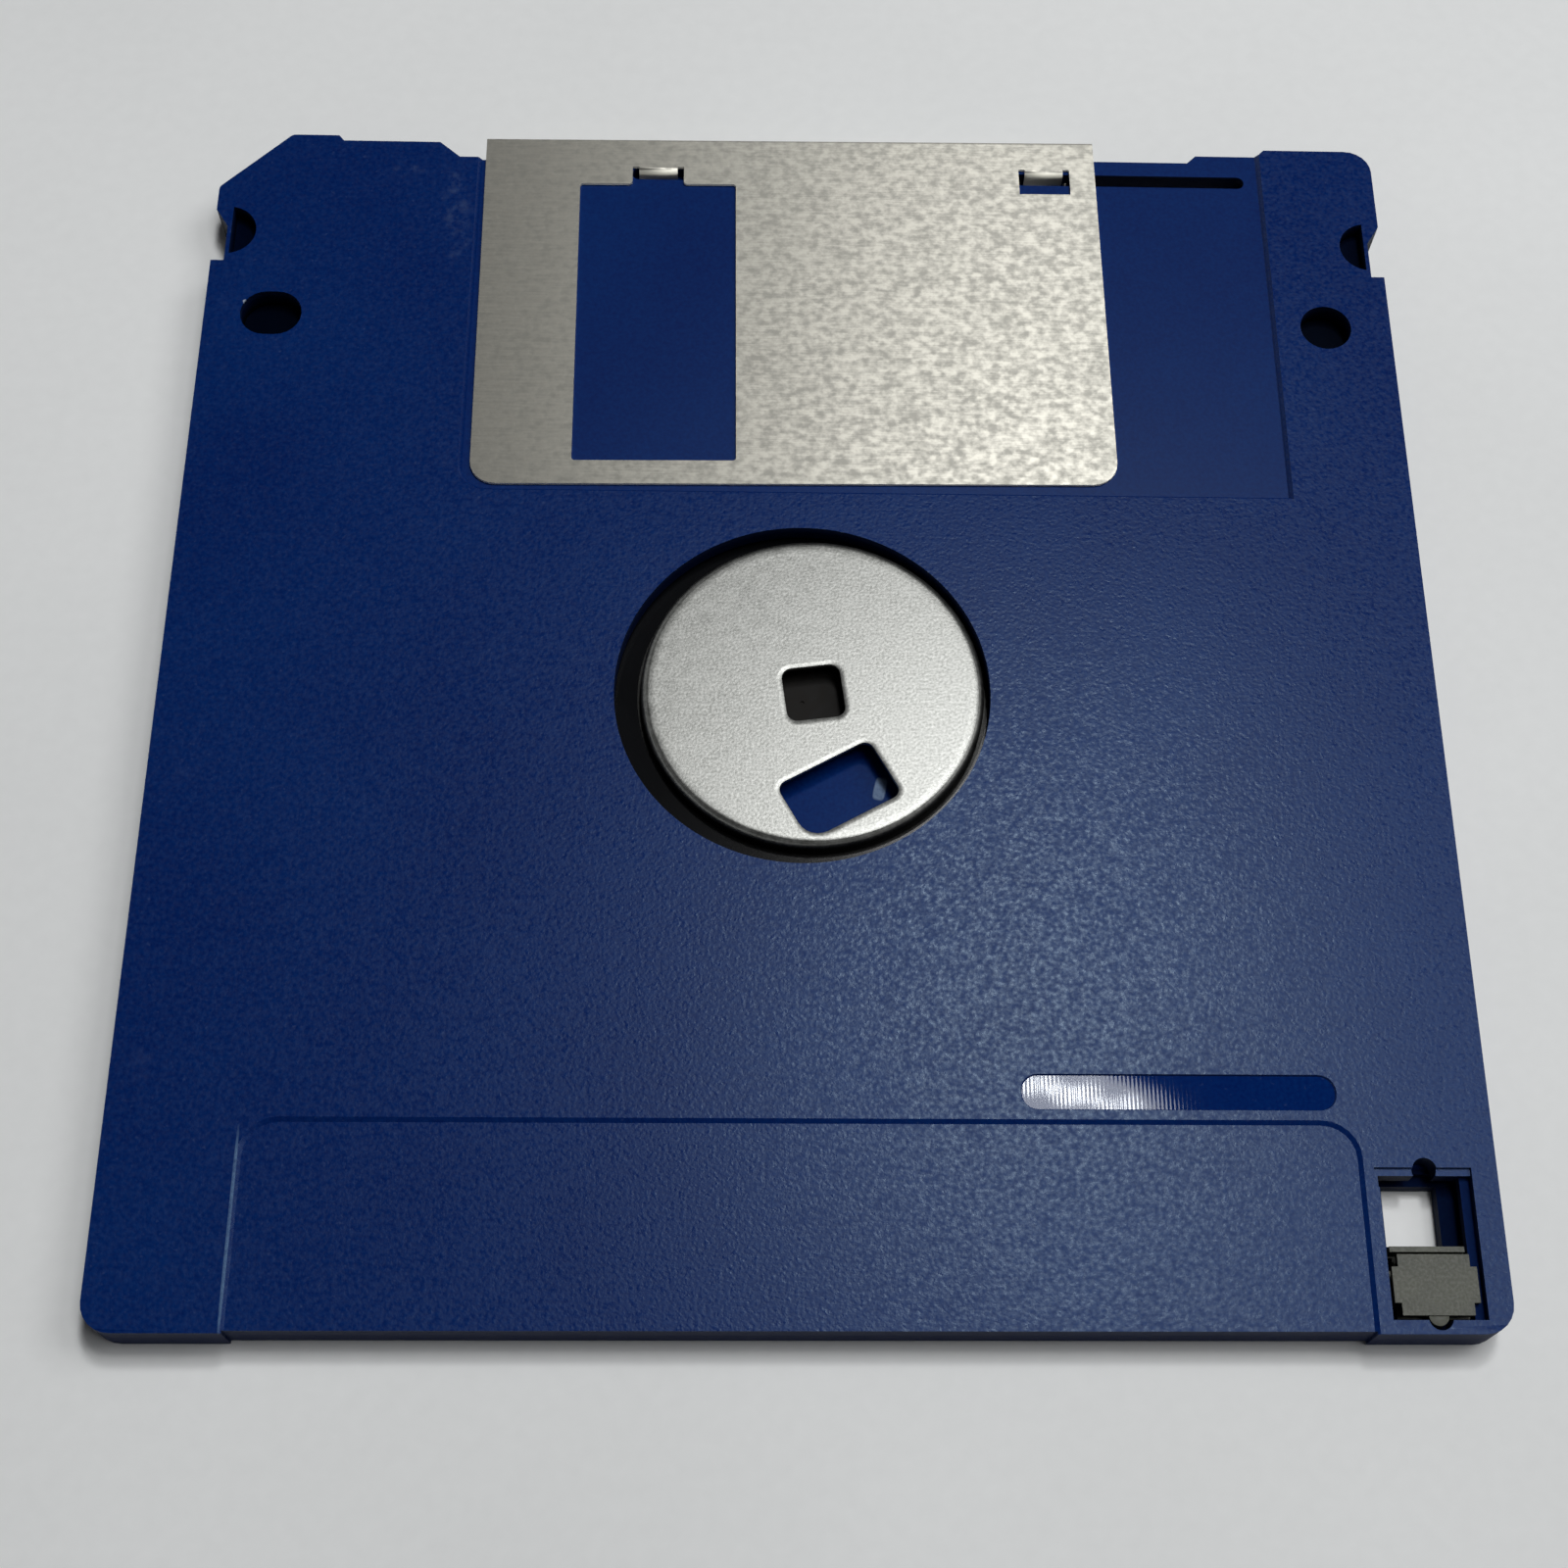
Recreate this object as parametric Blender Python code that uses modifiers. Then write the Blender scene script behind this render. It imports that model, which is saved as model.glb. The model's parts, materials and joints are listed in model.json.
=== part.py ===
# A 90 mm flexible disk cartridge lying label side down, with its shutter closed.
# X runs along the shutter's edge, Y towards that edge, Z up through the hub side.
# The origin is under the middle of the case, on the surface that it lies on.

import math

import bmesh
import bpy
from mathutils import Matrix, Vector

MM = 0.001

# Media, hub and the room round them
MEDIA_DIAMETER = 85.8 * MM
MEDIA_THICKNESS = 0.08 * MM
MEDIA_BORE_CLEARANCE = 0.25 * MM
DISK_CLEARANCE = 1.0 * MM
HUB_DIAMETER = 24.3 * MM
HUB_SHEET = 0.28 * MM
HUB_EDGE_RADIUS = 0.6 * MM
HUB_FLANGE_WIDTH = 2.6 * MM
HUB_RECESS = 0.3 * MM
HUB_HOLE_CLEARANCE = 1.1 * MM
HUB_SQUARE = 4.15 * MM
HUB_SQUARE_OFFSET_Y = -0.33 * MM
HUB_SQUARE_RADIUS = 0.75 * MM
DRIVE_SLOT_LENGTH = 7.4 * MM
DRIVE_SLOT_WIDTH = 4.7 * MM
DRIVE_SLOT_RADIUS = 0.7 * MM
DRIVE_SLOT_WIDE_RADIUS = 1.5 * MM
DRIVE_SLOT_REACH = 8.05 * MM
DRIVE_SLOT_BEARING = math.radians(-84.7)
DRIVE_SLOT_SLANT = math.radians(21.7)
ADHESIVE_WIDTH = 1.5 * MM
ADHESIVE_THICKNESS = 0.05 * MM
# How far the loose disk had floated off the hub hole's centre, and how it had turned
DISK_FLOAT_X = 0.73 * MM
DISK_FLOAT_Y = 0.3 * MM
DISK_TURN = math.radians(7.6)

# Case
SHELL_FLOOR = 1.1 * MM
CAVITY_HEIGHT = 1.1 * MM
SIDE_WALL = 1.1 * MM
REAR_WALL = 1.3 * MM
FRONT_BAR = 4.6 * MM
SEAM_GAP = 0.04 * MM
CORNER_RADIUS = 2.0 * MM
RIM_RADIUS = 0.4 * MM
KEY_CHAMFER = 5.2 * MM
KEY_CHAMFER_RADIUS = 0.6 * MM
POCKET_WALL = 0.9 * MM
POCKET_RADIUS = 0.8 * MM
POCKET_REACH = 22.0 * MM
RIB_THICKNESS = 0.8 * MM
HUB_COLLAR_WALL = 1.1 * MM
HUB_COLLAR_HEIGHT = 0.25 * MM
LINER_RING_RADIUS = 16.0 * MM
LINER_RING_WALL = 0.8 * MM
LINER_RING_HEIGHT = 0.2 * MM
HEAD_WINDOW_WIDTH = 9.0 * MM
HEAD_WINDOW_HUB_GAP = 5.4 * MM
HEAD_WINDOW_RADIUS = 0.5 * MM

# Front edge, from the key corner to the square corner
LEAD_SETBACK = 0.5 * MM
LEAD_START = 9.2 * MM
LEAD_END = 16.7 * MM
BASE_SETBACK = 1.9 * MM
BASE_START = 18.3 * MM
SPRING_SIDE_SETBACK = 1.1 * MM
SPRING_SIDE_START = 31.0 * MM
TAIL_SETBACK = 0.4 * MM
TAIL_START = 13.8 * MM
TAIL_END = 8.8 * MM
STEP_RUN = 0.4 * MM
TAIL_RUN = 0.7 * MM

# Locating holes and handling notches
LOCATING_SETBACK = 16.95 * MM
LOCATING_INSET = 5.0 * MM
LOCATING_HOLE = 3.9 * MM
LOCATING_SLOT = 4.6 * MM
LOCATING_BOSS_WALL = 1.3 * MM
NOTCH_DEPTH = 1.0 * MM
NOTCH_FRONT_SETBACK = 7.35 * MM
NOTCH_SLANT = 1.6 * MM
NOTCH_LENGTH = 4.8 * MM
THUMB_POCKET_RADIUS = 2.2 * MM
THUMB_POCKET_SETBACK = 9.3 * MM
THUMB_POCKET_DEPTH = 1.35 * MM
THUMB_POCKET_WALL = 0.3 * MM

# Shutter, its recess and its groove
SHUTTER_SHEET = 0.2 * MM
SHUTTER_WIDTH = 47.7 * MM
SHUTTER_COVER = 1.6 * MM
SHUTTER_OVERHANG = 0.4 * MM
SHUTTER_SINK = 0.1 * MM
SHUTTER_LIFT = 0.05 * MM
SHUTTER_CORNER = 1.9 * MM
SHUTTER_BEND = 0.35 * MM
SHUTTER_TRAVEL = 12.2 * MM
SHUTTER_SKEW = math.radians(0.6)
SHUTTER_WINDOW_WIDTH = 12.1 * MM
SHUTTER_WINDOW_LUG_GAP = 1.05 * MM
SHUTTER_WINDOW_RADIUS = 0.25 * MM
SHUTTER_LEFT_MARGIN = 7.4 * MM
SHUTTER_REAR_MARGIN = 2.0 * MM
LUG_SETBACK = 3.0 * MM
LUG_WIDTH = 3.0 * MM
LUG_BEND = 0.45 * MM
LUG_OFFSET = 0.18 * MM
LUG_ROOT = 0.42 * MM
LUG_REACH = 1.1 * MM
SPRING_LUG_REACH = 1.7 * MM
LUG_HOLE_WIDTH = 4.0 * MM
LUG_HOLE_LENGTH = 2.4 * MM
LUG_EDGE_MARGIN = 4.0 * MM
RECESS_GAP = 0.3 * MM
RECESS_INSET = 9.1 * MM
RECESS_END_GAP = 0.65 * MM
RECESS_DRAFT = 0.3 * MM
GROOVE_WIDTH = 1.1 * MM
GROOVE_CLEARANCE = 0.15 * MM
GROOVE_OVERRUN = 2.1 * MM

# Shutter spring
SPRING_WIRE = 0.4 * MM
SPRING_COIL_RADIUS = 1.9 * MM
SPRING_TURNS = 2
SPRING_PITCH = 0.44 * MM
SPRING_COIL_SETBACK = 9.1 * MM
SPRING_COIL_INSET = 14.5 * MM
SPRING_TIP_GAP = 0.1 * MM
SPRING_HOOK = 0.6 * MM
SPRING_CLEARANCE = 0.1 * MM

# Label recess, smooth recess and insertion arrow
LABEL_WIDTH = 72.6 * MM
LABEL_HUB_REACH = 13.95 * MM
LABEL_FACE_REACH = 57.0 * MM
LABEL_DEPTH = 0.2 * MM
LABEL_RADIUS = 2.8 * MM
LABEL_DRAFT = 0.3 * MM
SMOOTH_RECESS_LENGTH = 20.8 * MM
SMOOTH_RECESS_WIDTH = 2.45 * MM
SMOOTH_RECESS_INSET = 10.0 * MM
SMOOTH_RECESS_GAP = 0.65 * MM
SMOOTH_RECESS_DEPTH = 0.15 * MM
ARROW_LENGTH = 4.5 * MM
ARROW_WIDTH = 4.0 * MM
ARROW_DEPTH = 0.2 * MM
ARROW_INSET = 5.5 * MM
ARROW_SETBACK = 9.0 * MM

# Write-protect well and its tab
WELL_WIDTH = 6.1 * MM
WELL_LENGTH = 9.9 * MM
WELL_SIDE_INSET = 1.7 * MM
WELL_REAR_INSET = 0.9 * MM
WELL_LEDGE_WIDTH = 0.65 * MM
WELL_LEDGE_DEPTH = 0.75 * MM
WELL_LIP = 0.35 * MM
WELL_STEP_WIDTH = 0.5 * MM
WELL_STEP_DEPTH = 0.25 * MM
WELL_NICK_RADIUS = 0.8 * MM
WELL_NICK_REACH = 0.65 * MM
PROTECT_HOLE_WIDTH = 3.65 * MM
PROTECT_HOLE_LENGTH = 4.0 * MM
PROTECT_HOLE_INSET = 1.15 * MM
PROTECT_HOLE_SETBACK = 0.7 * MM
TAB_LENGTH = 4.5 * MM
TAB_END_GAP = 0.35 * MM
TAB_SIDE_GAP = 0.3 * MM
TAB_LIFT = 0.05 * MM
TAB_RECESS = 0.3 * MM
TAB_PLATE = 0.4 * MM
TAB_NOTCH_WIDTH = 0.42 * MM
TAB_NOTCH_LENGTH = 0.8 * MM
TAB_BAR = 0.42 * MM
TAB_SLIT = 0.14 * MM
TAB_NUB_RADIUS = 0.65 * MM

# Liners, lifter and wear pad
LINER_THICKNESS = 0.18 * MM
LINER_EDGE_GAP = 0.5 * MM
LINER_RING_GAP = 0.4 * MM
LINER_SLOT_MARGIN = 0.6 * MM
LAYER_GAP = 0.02 * MM
LIFTER_SHEET = 0.1 * MM
LIFTER_WIDTH = 9.0 * MM
LIFTER_EDGE_GAP = 4.0 * MM
LIFTER_BONDED_WIDTH = 3.0 * MM
LIFTER_POCKET_DEPTH = 0.3 * MM
LIFTER_POCKET_GAP = 0.3 * MM
LIFTER_INSET = 2.0 * MM
WEAR_PAD_DIAMETER = 9.0 * MM
WEAR_PAD_THICKNESS = 0.2 * MM
WEAR_PAD_DIMPLE = 0.3 * MM

# Alignment pins between the shells
PIN_DIAMETER = 1.4 * MM
PIN_HEIGHT = 0.5 * MM
PIN_CLEARANCE = 0.15 * MM
PIN_POST_WALL = 0.9 * MM
PIN_INSET = 6.0 * MM
PIN_CORNER_INSET = 4.6 * MM

# The exact solver leaves holes in these pieces, whose cuts share many planes
EXACT_FAILS = ("back_shell", "front_shell", "shutter")

# Roundness of arcs
ARC_STEP = math.radians(15)
ROUND_SIDES = 96
SMALL_SIDES = 32
TOOL_REACH = 1.0 * MM

# Places worked out from the sizes
cavity_radius = MEDIA_DIAMETER / 2 + DISK_CLEARANCE
case_width = 2 * (cavity_radius + SIDE_WALL)
case_length = REAR_WALL + 2 * cavity_radius + FRONT_BAR
case_height = 2 * SHELL_FLOOR + CAVITY_HEIGHT
parting = case_height / 2
side = case_width / 2
front = case_length / 2
rear = -front
hub_y = rear + REAR_WALL + cavity_radius
floor_top = SHELL_FLOOR
ceiling = case_height - SHELL_FLOOR
locating_y = front - LOCATING_SETBACK
locating_x = side - LOCATING_INSET
hub_radius = HUB_DIAMETER / 2
hub_hole_radius = hub_radius + HUB_HOLE_CLEARANCE
flange_radius = hub_radius + HUB_FLANGE_WIDTH
hub_top = case_height - HUB_RECESS
media_low = parting - MEDIA_THICKNESS / 2
adhesive_low = media_low - LAYER_GAP - ADHESIVE_THICKNESS
flange_top = adhesive_low - LAYER_GAP
disk_centre = Vector((DISK_FLOAT_X, hub_y + DISK_FLOAT_Y, 0))
recess_depth = SHUTTER_SHEET + SHUTTER_SINK + SHUTTER_LIFT
recess_right = side - RECESS_INSET
shutter_right = recess_right - RECESS_END_GAP - SHUTTER_TRAVEL
shutter_left = shutter_right - SHUTTER_WIDTH
shutter_x = (shutter_left + shutter_right) / 2
window_x = shutter_left + SHUTTER_LEFT_MARGIN + SHUTTER_WINDOW_WIDTH / 2
head_window_front = hub_y + cavity_radius
head_window_rear = hub_y + hub_hole_radius + HEAD_WINDOW_HUB_GAP
shutter_front = front + SHUTTER_OVERHANG
shutter_rear = head_window_rear - SHUTTER_COVER
lug_y = front - LUG_SETBACK
spring_lug_x = shutter_right - LUG_EDGE_MARGIN
spring_lug_end = spring_lug_x + LUG_WIDTH / 2
recess_left = shutter_left - RECESS_GAP
recess_rear = shutter_rear - RECESS_GAP - math.sin(SHUTTER_SKEW) * SHUTTER_WIDTH / 2
groove_floor = LUG_REACH + SHUTTER_SINK + GROOVE_CLEARANCE
groove_left = window_x - LUG_WIDTH / 2 - GROOVE_WIDTH / 2
groove_right = spring_lug_end + SHUTTER_TRAVEL + GROOVE_OVERRUN
well_right = side - WELL_SIDE_INSET
well_left = well_right - WELL_WIDTH
well_rear = rear + WELL_REAR_INSET
well_front = well_rear + WELL_LENGTH
channel_left = well_left - WELL_LIP
channel_right = well_right + WELL_LIP

FLAT = Matrix.Identity(4)
ALONG_X = Matrix(((0, 0, 1, 0), (1, 0, 0, 0), (0, 1, 0, 0), (0, 0, 0, 1)))
ALONG_Y = Matrix(((1, 0, 0, 0), (0, 0, -1, 0), (0, 1, 0, 0), (0, 0, 0, 1)))


# Scene, collections and materials

for leftover in list(bpy.data.objects):
    bpy.data.objects.remove(leftover, do_unlink=True)

parts = bpy.data.collections.new("floppy_disk")
tools = bpy.data.collections.new("cutters")
bpy.context.scene.collection.children.link(parts)
bpy.context.scene.collection.children.link(tools)


def material(name, colour, roughness, metallic=0.0):
    made = bpy.data.materials.new(name)
    made.use_nodes = True
    shader = made.node_tree.nodes["Principled BSDF"]
    shader.inputs["Base Color"].default_value = (*colour, 1.0)
    shader.inputs["Roughness"].default_value = roughness
    shader.inputs["Metallic"].default_value = metallic
    made.diffuse_color = (*colour, 1.0)
    return made


shell_plastic = material("moulded_blue_plastic", (0.010, 0.024, 0.120), 0.45)
shell_plastic_label = material("moulded_blue_plastic_label", (0.010, 0.024, 0.120), 0.45)
shutter_steel = material("stainless_sheet", (0.46, 0.44, 0.40), 0.38, 1.0)
hub_steel = material("plated_hub_steel", (0.55, 0.56, 0.53), 0.42, 1.0)
spring_steel = material("spring_wire", (0.42, 0.41, 0.40), 0.30, 1.0)
tab_plastic = material("grey_tab_plastic", (0.090, 0.092, 0.074), 0.55)
media_coating = material("magnetic_coating", (0.020, 0.015, 0.013), 0.22)
liner_fibre = material("nonwoven_liner", (0.62, 0.62, 0.60), 0.95)
liner_fibre_label = material("nonwoven_liner_label", (0.62, 0.62, 0.60), 0.95)
lifter_film = material("lifter_film", (0.32, 0.30, 0.24), 0.30)
pad_plastic = material("wear_pad_plastic", (0.022, 0.020, 0.018), 0.50)
adhesive_film = material("hub_adhesive", (0.45, 0.40, 0.28), 0.60)


# Outlines

def rounded(corners):
    """Points of a closed outline whose corners are (x, y, radius), each radius an arc."""
    points = []
    count = len(corners)
    for index, (x, y, radius) in enumerate(corners):
        here = Vector((x, y))
        if radius <= 0:
            points.append(here)
            continue
        back = (Vector(corners[index - 1][:2]) - here).normalized()
        ahead = (Vector(corners[(index + 1) % count][:2]) - here).normalized()
        half = back.angle(ahead) / 2
        centre = here + (back + ahead).normalized() * (radius / math.sin(half))
        start = here + back * (radius / math.tan(half)) - centre
        end = here + ahead * (radius / math.tan(half)) - centre
        sweep = -start.angle_signed(end)
        steps = max(2, round(abs(sweep) / ARC_STEP))
        for step in range(steps + 1):
            turn = Matrix.Rotation(sweep * step / steps, 2)
            points.append(centre + turn @ start)
    return [(point[0], point[1]) for point in points]


def circle(x, y, radius, sides=ROUND_SIDES):
    angles = [2 * math.pi * index / sides for index in range(sides)]
    return [(x + radius * math.cos(a), y + radius * math.sin(a)) for a in angles]


def rectangle(x_low, x_high, y_low, y_high, radius=0.0):
    corners = [(x_low, y_low), (x_high, y_low), (x_high, y_high), (x_low, y_high)]
    return rounded([(x, y, radius) for x, y in corners])


# Solids

def keep(obj, group, paint=None, carrier=None):
    """Files an object under its collection and gives it its material and carrier."""
    for owner in list(obj.users_collection):
        owner.objects.unlink(obj)
    group.objects.link(obj)
    if paint:
        obj.data.materials.clear()
        obj.data.materials.append(paint)
    if carrier:
        obj.parent = carrier
    if group is tools:
        obj.hide_render = True
        obj.display_type = "WIRE"
    return obj


def flat_plate(name, loops, low, high, lie=FLAT):
    """A flat outline, with any holes as further loops, from low to high along its normal."""
    curve = bpy.data.curves.new(name, "CURVE")
    curve.dimensions = "2D"
    curve.fill_mode = "BOTH"
    curve.extrude = (high - low) / 2
    for loop in loops:
        spline = curve.splines.new("POLY")
        spline.points.add(len(loop) - 1)
        spline.use_cyclic_u = True
        for point, (x, y) in zip(spline.points, loop):
            point.co = (x, y, 0, 1)
    drawn = bpy.data.objects.new(name + "_outline", curve)
    bpy.context.scene.collection.objects.link(drawn)
    drawn.matrix_world = lie @ Matrix.Translation((0, 0, (low + high) / 2))
    return as_mesh(drawn, name)


def as_mesh(drawn, name):
    """Turns a curve object into a closed mesh object that stands where the curve did."""
    bpy.context.view_layer.update()
    ready = drawn.evaluated_get(bpy.context.evaluated_depsgraph_get())
    mesh = bpy.data.meshes.new_from_object(ready)
    mesh.name = name
    shape = bmesh.new()
    shape.from_mesh(mesh)
    bmesh.ops.remove_doubles(shape, verts=shape.verts, dist=1e-7)
    bmesh.ops.recalc_face_normals(shape, faces=shape.faces)
    shape.to_mesh(mesh)
    shape.free()
    made = bpy.data.objects.new(name, mesh)
    made.matrix_world = drawn.matrix_world.copy()
    bpy.context.scene.collection.objects.link(made)
    bpy.data.objects.remove(drawn, do_unlink=True)
    return made


def cylinder(name, x, y, radius, low, high, sides=ROUND_SIDES):
    mesh = bpy.data.meshes.new(name)
    shape = bmesh.new()
    bmesh.ops.create_cone(
        shape, cap_ends=True, segments=sides, radius1=radius, radius2=radius, depth=high - low
    )
    shape.to_mesh(mesh)
    shape.free()
    made = bpy.data.objects.new(name, mesh)
    made.location = (x, y, (low + high) / 2)
    bpy.context.scene.collection.objects.link(made)
    return made


def combine(target, tool, operation="DIFFERENCE"):
    """Cuts, joins or trims the target with a tool that stays in the cutters' collection."""
    if tool.name not in tools.objects:
        keep(tool, tools, carrier=tool.parent or target.parent)
    step = target.modifiers.new(tool.name, "BOOLEAN")
    step.operation = operation
    step.solver = "MANIFOLD" if target.name in EXACT_FAILS else "EXACT"
    step.object = tool
    return target


def round_rim(obj, level, radius):
    """Rounds the edges of a plate that lie at one height."""
    mesh = obj.data
    weights = mesh.attributes.new("bevel_weight_edge", "FLOAT", "EDGE")
    lift = obj.matrix_world.translation.z
    for edge in mesh.edges:
        ends = [mesh.vertices[index].co.z + lift for index in edge.vertices]
        if all(abs(end - level) < 1e-7 for end in ends):
            weights.data[edge.index].value = 1.0
    bevel = obj.modifiers.new("rim", "BEVEL")
    bevel.limit_method = "WEIGHT"
    bevel.width = radius
    bevel.segments = 3
    obj.modifiers.new("flat_faces", "TRIANGULATE")


def sunk_recess(name, outline, face, outward, depth, draft):
    """A tool with drafted walls, from an outline one depth outside the face to one inside it."""
    low, high = sorted((face + outward * depth, face + outward * TOOL_REACH))
    made = flat_plate(name, [outline], low, high)
    shape = bmesh.new()
    shape.from_mesh(made.data)
    shape.normal_update()
    mouth = [f for f in shape.faces if f.normal.z * outward < -0.9]
    bmesh.ops.inset_region(
        shape,
        faces=mouth,
        thickness=2 * draft,
        depth=2 * depth,
        use_even_offset=True,
        use_boundary=True,
    )
    bmesh.ops.triangulate(shape, faces=shape.faces)
    shape.to_mesh(made.data)
    shape.free()
    return made


def smooth(obj, angle=math.radians(32)):
    obj.data.shade_smooth()
    obj.data.set_sharp_from_angle(angle=angle)


# Case shells

def case_outline():
    return rounded([
        (-side, rear, CORNER_RADIUS),
        (side, rear, CORNER_RADIUS),
        (side, front, CORNER_RADIUS),
        (-side + KEY_CHAMFER, front, KEY_CHAMFER_RADIUS),
        (-side, front - KEY_CHAMFER, KEY_CHAMFER_RADIUS),
    ])


def front_steps():
    """What the front edge lacks of a straight one, as one closed outline."""
    out = front + TOOL_REACH
    lead = front - LEAD_SETBACK
    base = front - BASE_SETBACK
    spring_side = front - SPRING_SIDE_SETBACK
    tail = front - TAIL_SETBACK
    step_x = side - SPRING_SIDE_START
    return [
        (-side + LEAD_START - STEP_RUN, out),
        (-side + LEAD_START - STEP_RUN, front),
        (-side + LEAD_START, lead),
        (-side + LEAD_END, lead),
        (-side + BASE_START, base),
        (step_x, base),
        (step_x, spring_side),
        (side - TAIL_START - TAIL_RUN, spring_side),
        (side - TAIL_START, tail),
        (side - TAIL_END, tail),
        (side - TAIL_END + STEP_RUN, front),
        (side - TAIL_END + STEP_RUN, out),
    ]


def side_notch(hand):
    """A handling notch in the side wall: hand is 1 on the right and -1 on the left."""
    notch_front = front - NOTCH_FRONT_SETBACK
    notch_rear = notch_front - NOTCH_LENGTH
    inner = side - NOTCH_DEPTH
    outer = side + TOOL_REACH
    slant = NOTCH_SLANT * (outer - side) / NOTCH_DEPTH
    points = [
        (inner, notch_rear),
        (outer, notch_rear),
        (outer, notch_front + slant),
        (inner, notch_front - NOTCH_SLANT),
    ]
    return [(hand * x, y) for x, y in points]


def pin_places():
    """Where the pins stand: two rear corners, the key corner and the square corner."""
    return {
        "rear_left": (-side + PIN_INSET, rear + PIN_INSET),
        "rear_right": (well_left - PIN_INSET, rear + PIN_INSET),
        "key": (-side + 1.9 * PIN_INSET, front - 1.5 * PIN_INSET),
        "square": (side - PIN_CORNER_INSET, front - PIN_CORNER_INSET),
    }


def corner_pocket(name, x_limits, y_limits, low, high):
    """A hollow in one corner, kept clear of the round wall that surrounds the disk."""
    pocket = flat_plate(name, [rectangle(*x_limits, *y_limits, POCKET_RADIUS)], low, high)
    wall = cylinder(
        name + "_round_wall", 0, hub_y, cavity_radius + POCKET_WALL, low - TOOL_REACH, high + TOOL_REACH
    )
    combine(pocket, wall)
    return pocket


def radial_rib(name, x, y, low, high):
    """A rib from the hub's centre line out through a pin post."""
    reach = math.hypot(x, y - hub_y)
    heading = math.atan2(y - hub_y, x)
    half = RIB_THICKNESS / 2
    bar = flat_plate(name, [rectangle(reach * 0.5, reach * 1.3, -half, half)], low, high)
    bar.matrix_world = (
        Matrix.Translation((0, hub_y, 0)) @ Matrix.Rotation(heading, 4, "Z") @ bar.matrix_world
    )
    return bar


def hollow_corners(shell, tag, low, high):
    """Opens the corners outside the disk's round wall, leaving ribs and pin posts."""
    over_low = low - TOOL_REACH
    over_high = high + TOOL_REACH
    x_edge = side - SIDE_WALL
    y_edge = rear + REAR_WALL
    places = pin_places()
    rear_left = corner_pocket(
        tag + "_rear_left", (-x_edge, -x_edge + POCKET_REACH), (y_edge, y_edge + POCKET_REACH), low, high
    )
    rear_right_edge = channel_left - POCKET_WALL
    rear_right = corner_pocket(
        tag + "_rear_right",
        (rear_right_edge - POCKET_REACH, rear_right_edge),
        (y_edge, y_edge + POCKET_REACH),
        low,
        high,
    )
    key_edge = side - NOTCH_DEPTH - THUMB_POCKET_RADIUS - SIDE_WALL
    key = corner_pocket(
        tag + "_key",
        (-key_edge, -key_edge + POCKET_REACH),
        (locating_y - POCKET_RADIUS, front - BASE_SETBACK - REAR_WALL - GROOVE_WIDTH),
        low,
        high,
    )
    for pocket, place in ((rear_left, "rear_left"), (rear_right, "rear_right"), (key, "key")):
        x, y = places[place]
        post_radius = PIN_DIAMETER / 2 + PIN_CLEARANCE + PIN_POST_WALL
        combine(pocket, radial_rib(f"{tag}_{place}_rib", x, y, over_low, over_high))
        post = cylinder(f"{tag}_{place}_post", x, y, post_radius, over_low, over_high, SMALL_SIDES)
        combine(pocket, post)
    boss_radius = LOCATING_SLOT / 2 + LOCATING_BOSS_WALL
    boss = cylinder(
        tag + "_slot_boss", -locating_x, locating_y, boss_radius, over_low, over_high, SMALL_SIDES
    )
    combine(key, boss)
    for pocket in (rear_left, rear_right, key):
        combine(shell, pocket)


def spring_pocket_outline():
    left = spring_lug_x - LUG_WIDTH / 2 - GROOVE_WIDTH / 2
    right = groove_right + GROOVE_WIDTH / 2
    top = lug_y + GROOVE_WIDTH / 2
    return rectangle(left, right, locating_y, top, POCKET_RADIUS / 2)


def cut_spring_pocket(shell, tag, low, high):
    pocket = flat_plate(tag + "_spring_pocket", [spring_pocket_outline()], low, high)
    wall = cylinder(
        tag + "_spring_round_wall",
        0,
        hub_y,
        cavity_radius + POCKET_WALL,
        low - TOOL_REACH,
        high + TOOL_REACH,
    )
    combine(pocket, wall)
    combine(shell, pocket)


def cut_both_faces(shell, tag, face, outward):
    """Cuts that the two shells share: front edge, notches, shutter recess, groove and head window."""
    low, high = -TOOL_REACH, case_height + TOOL_REACH
    combine(shell, flat_plate(tag + "_front_steps", [front_steps()], low, high))
    for hand, label in ((-1, "left"), (1, "right")):
        combine(shell, flat_plate(f"{tag}_notch_{label}", [side_notch(hand)], low, high))
    grown = 2 * RECESS_DRAFT
    mouth = rounded([
        (recess_left - grown, recess_rear - grown, SHUTTER_CORNER + grown),
        (recess_right + grown, recess_rear - grown, 0.0),
        (recess_right + grown, front + 2 * TOOL_REACH, 0.0),
        (recess_left - grown, front + 2 * TOOL_REACH, 0.0),
    ])
    combine(shell, sunk_recess(tag + "_shutter_recess", mouth, face, outward, recess_depth, RECESS_DRAFT))
    groove_low, groove_high = sorted((face + outward * TOOL_REACH, face - outward * groove_floor))
    half = GROOVE_WIDTH / 2
    groove = rectangle(groove_left, groove_right, lug_y - half, lug_y + half, half * 0.98)
    combine(shell, flat_plate(tag + "_groove", [groove], groove_low, groove_high))
    half_window = HEAD_WINDOW_WIDTH / 2
    window = rectangle(
        -half_window, half_window, head_window_rear, head_window_front, HEAD_WINDOW_RADIUS
    )
    combine(shell, flat_plate(tag + "_head_window", [window], low, high))


def label_outline(reach):
    half = LABEL_WIDTH / 2 + LABEL_DRAFT
    far = rear + reach + LABEL_DRAFT
    return rounded([
        (-half, rear - 2 * TOOL_REACH, 0.0),
        (half, rear - 2 * TOOL_REACH, 0.0),
        (half, far, LABEL_RADIUS),
        (-half, far, LABEL_RADIUS),
    ])


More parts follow.
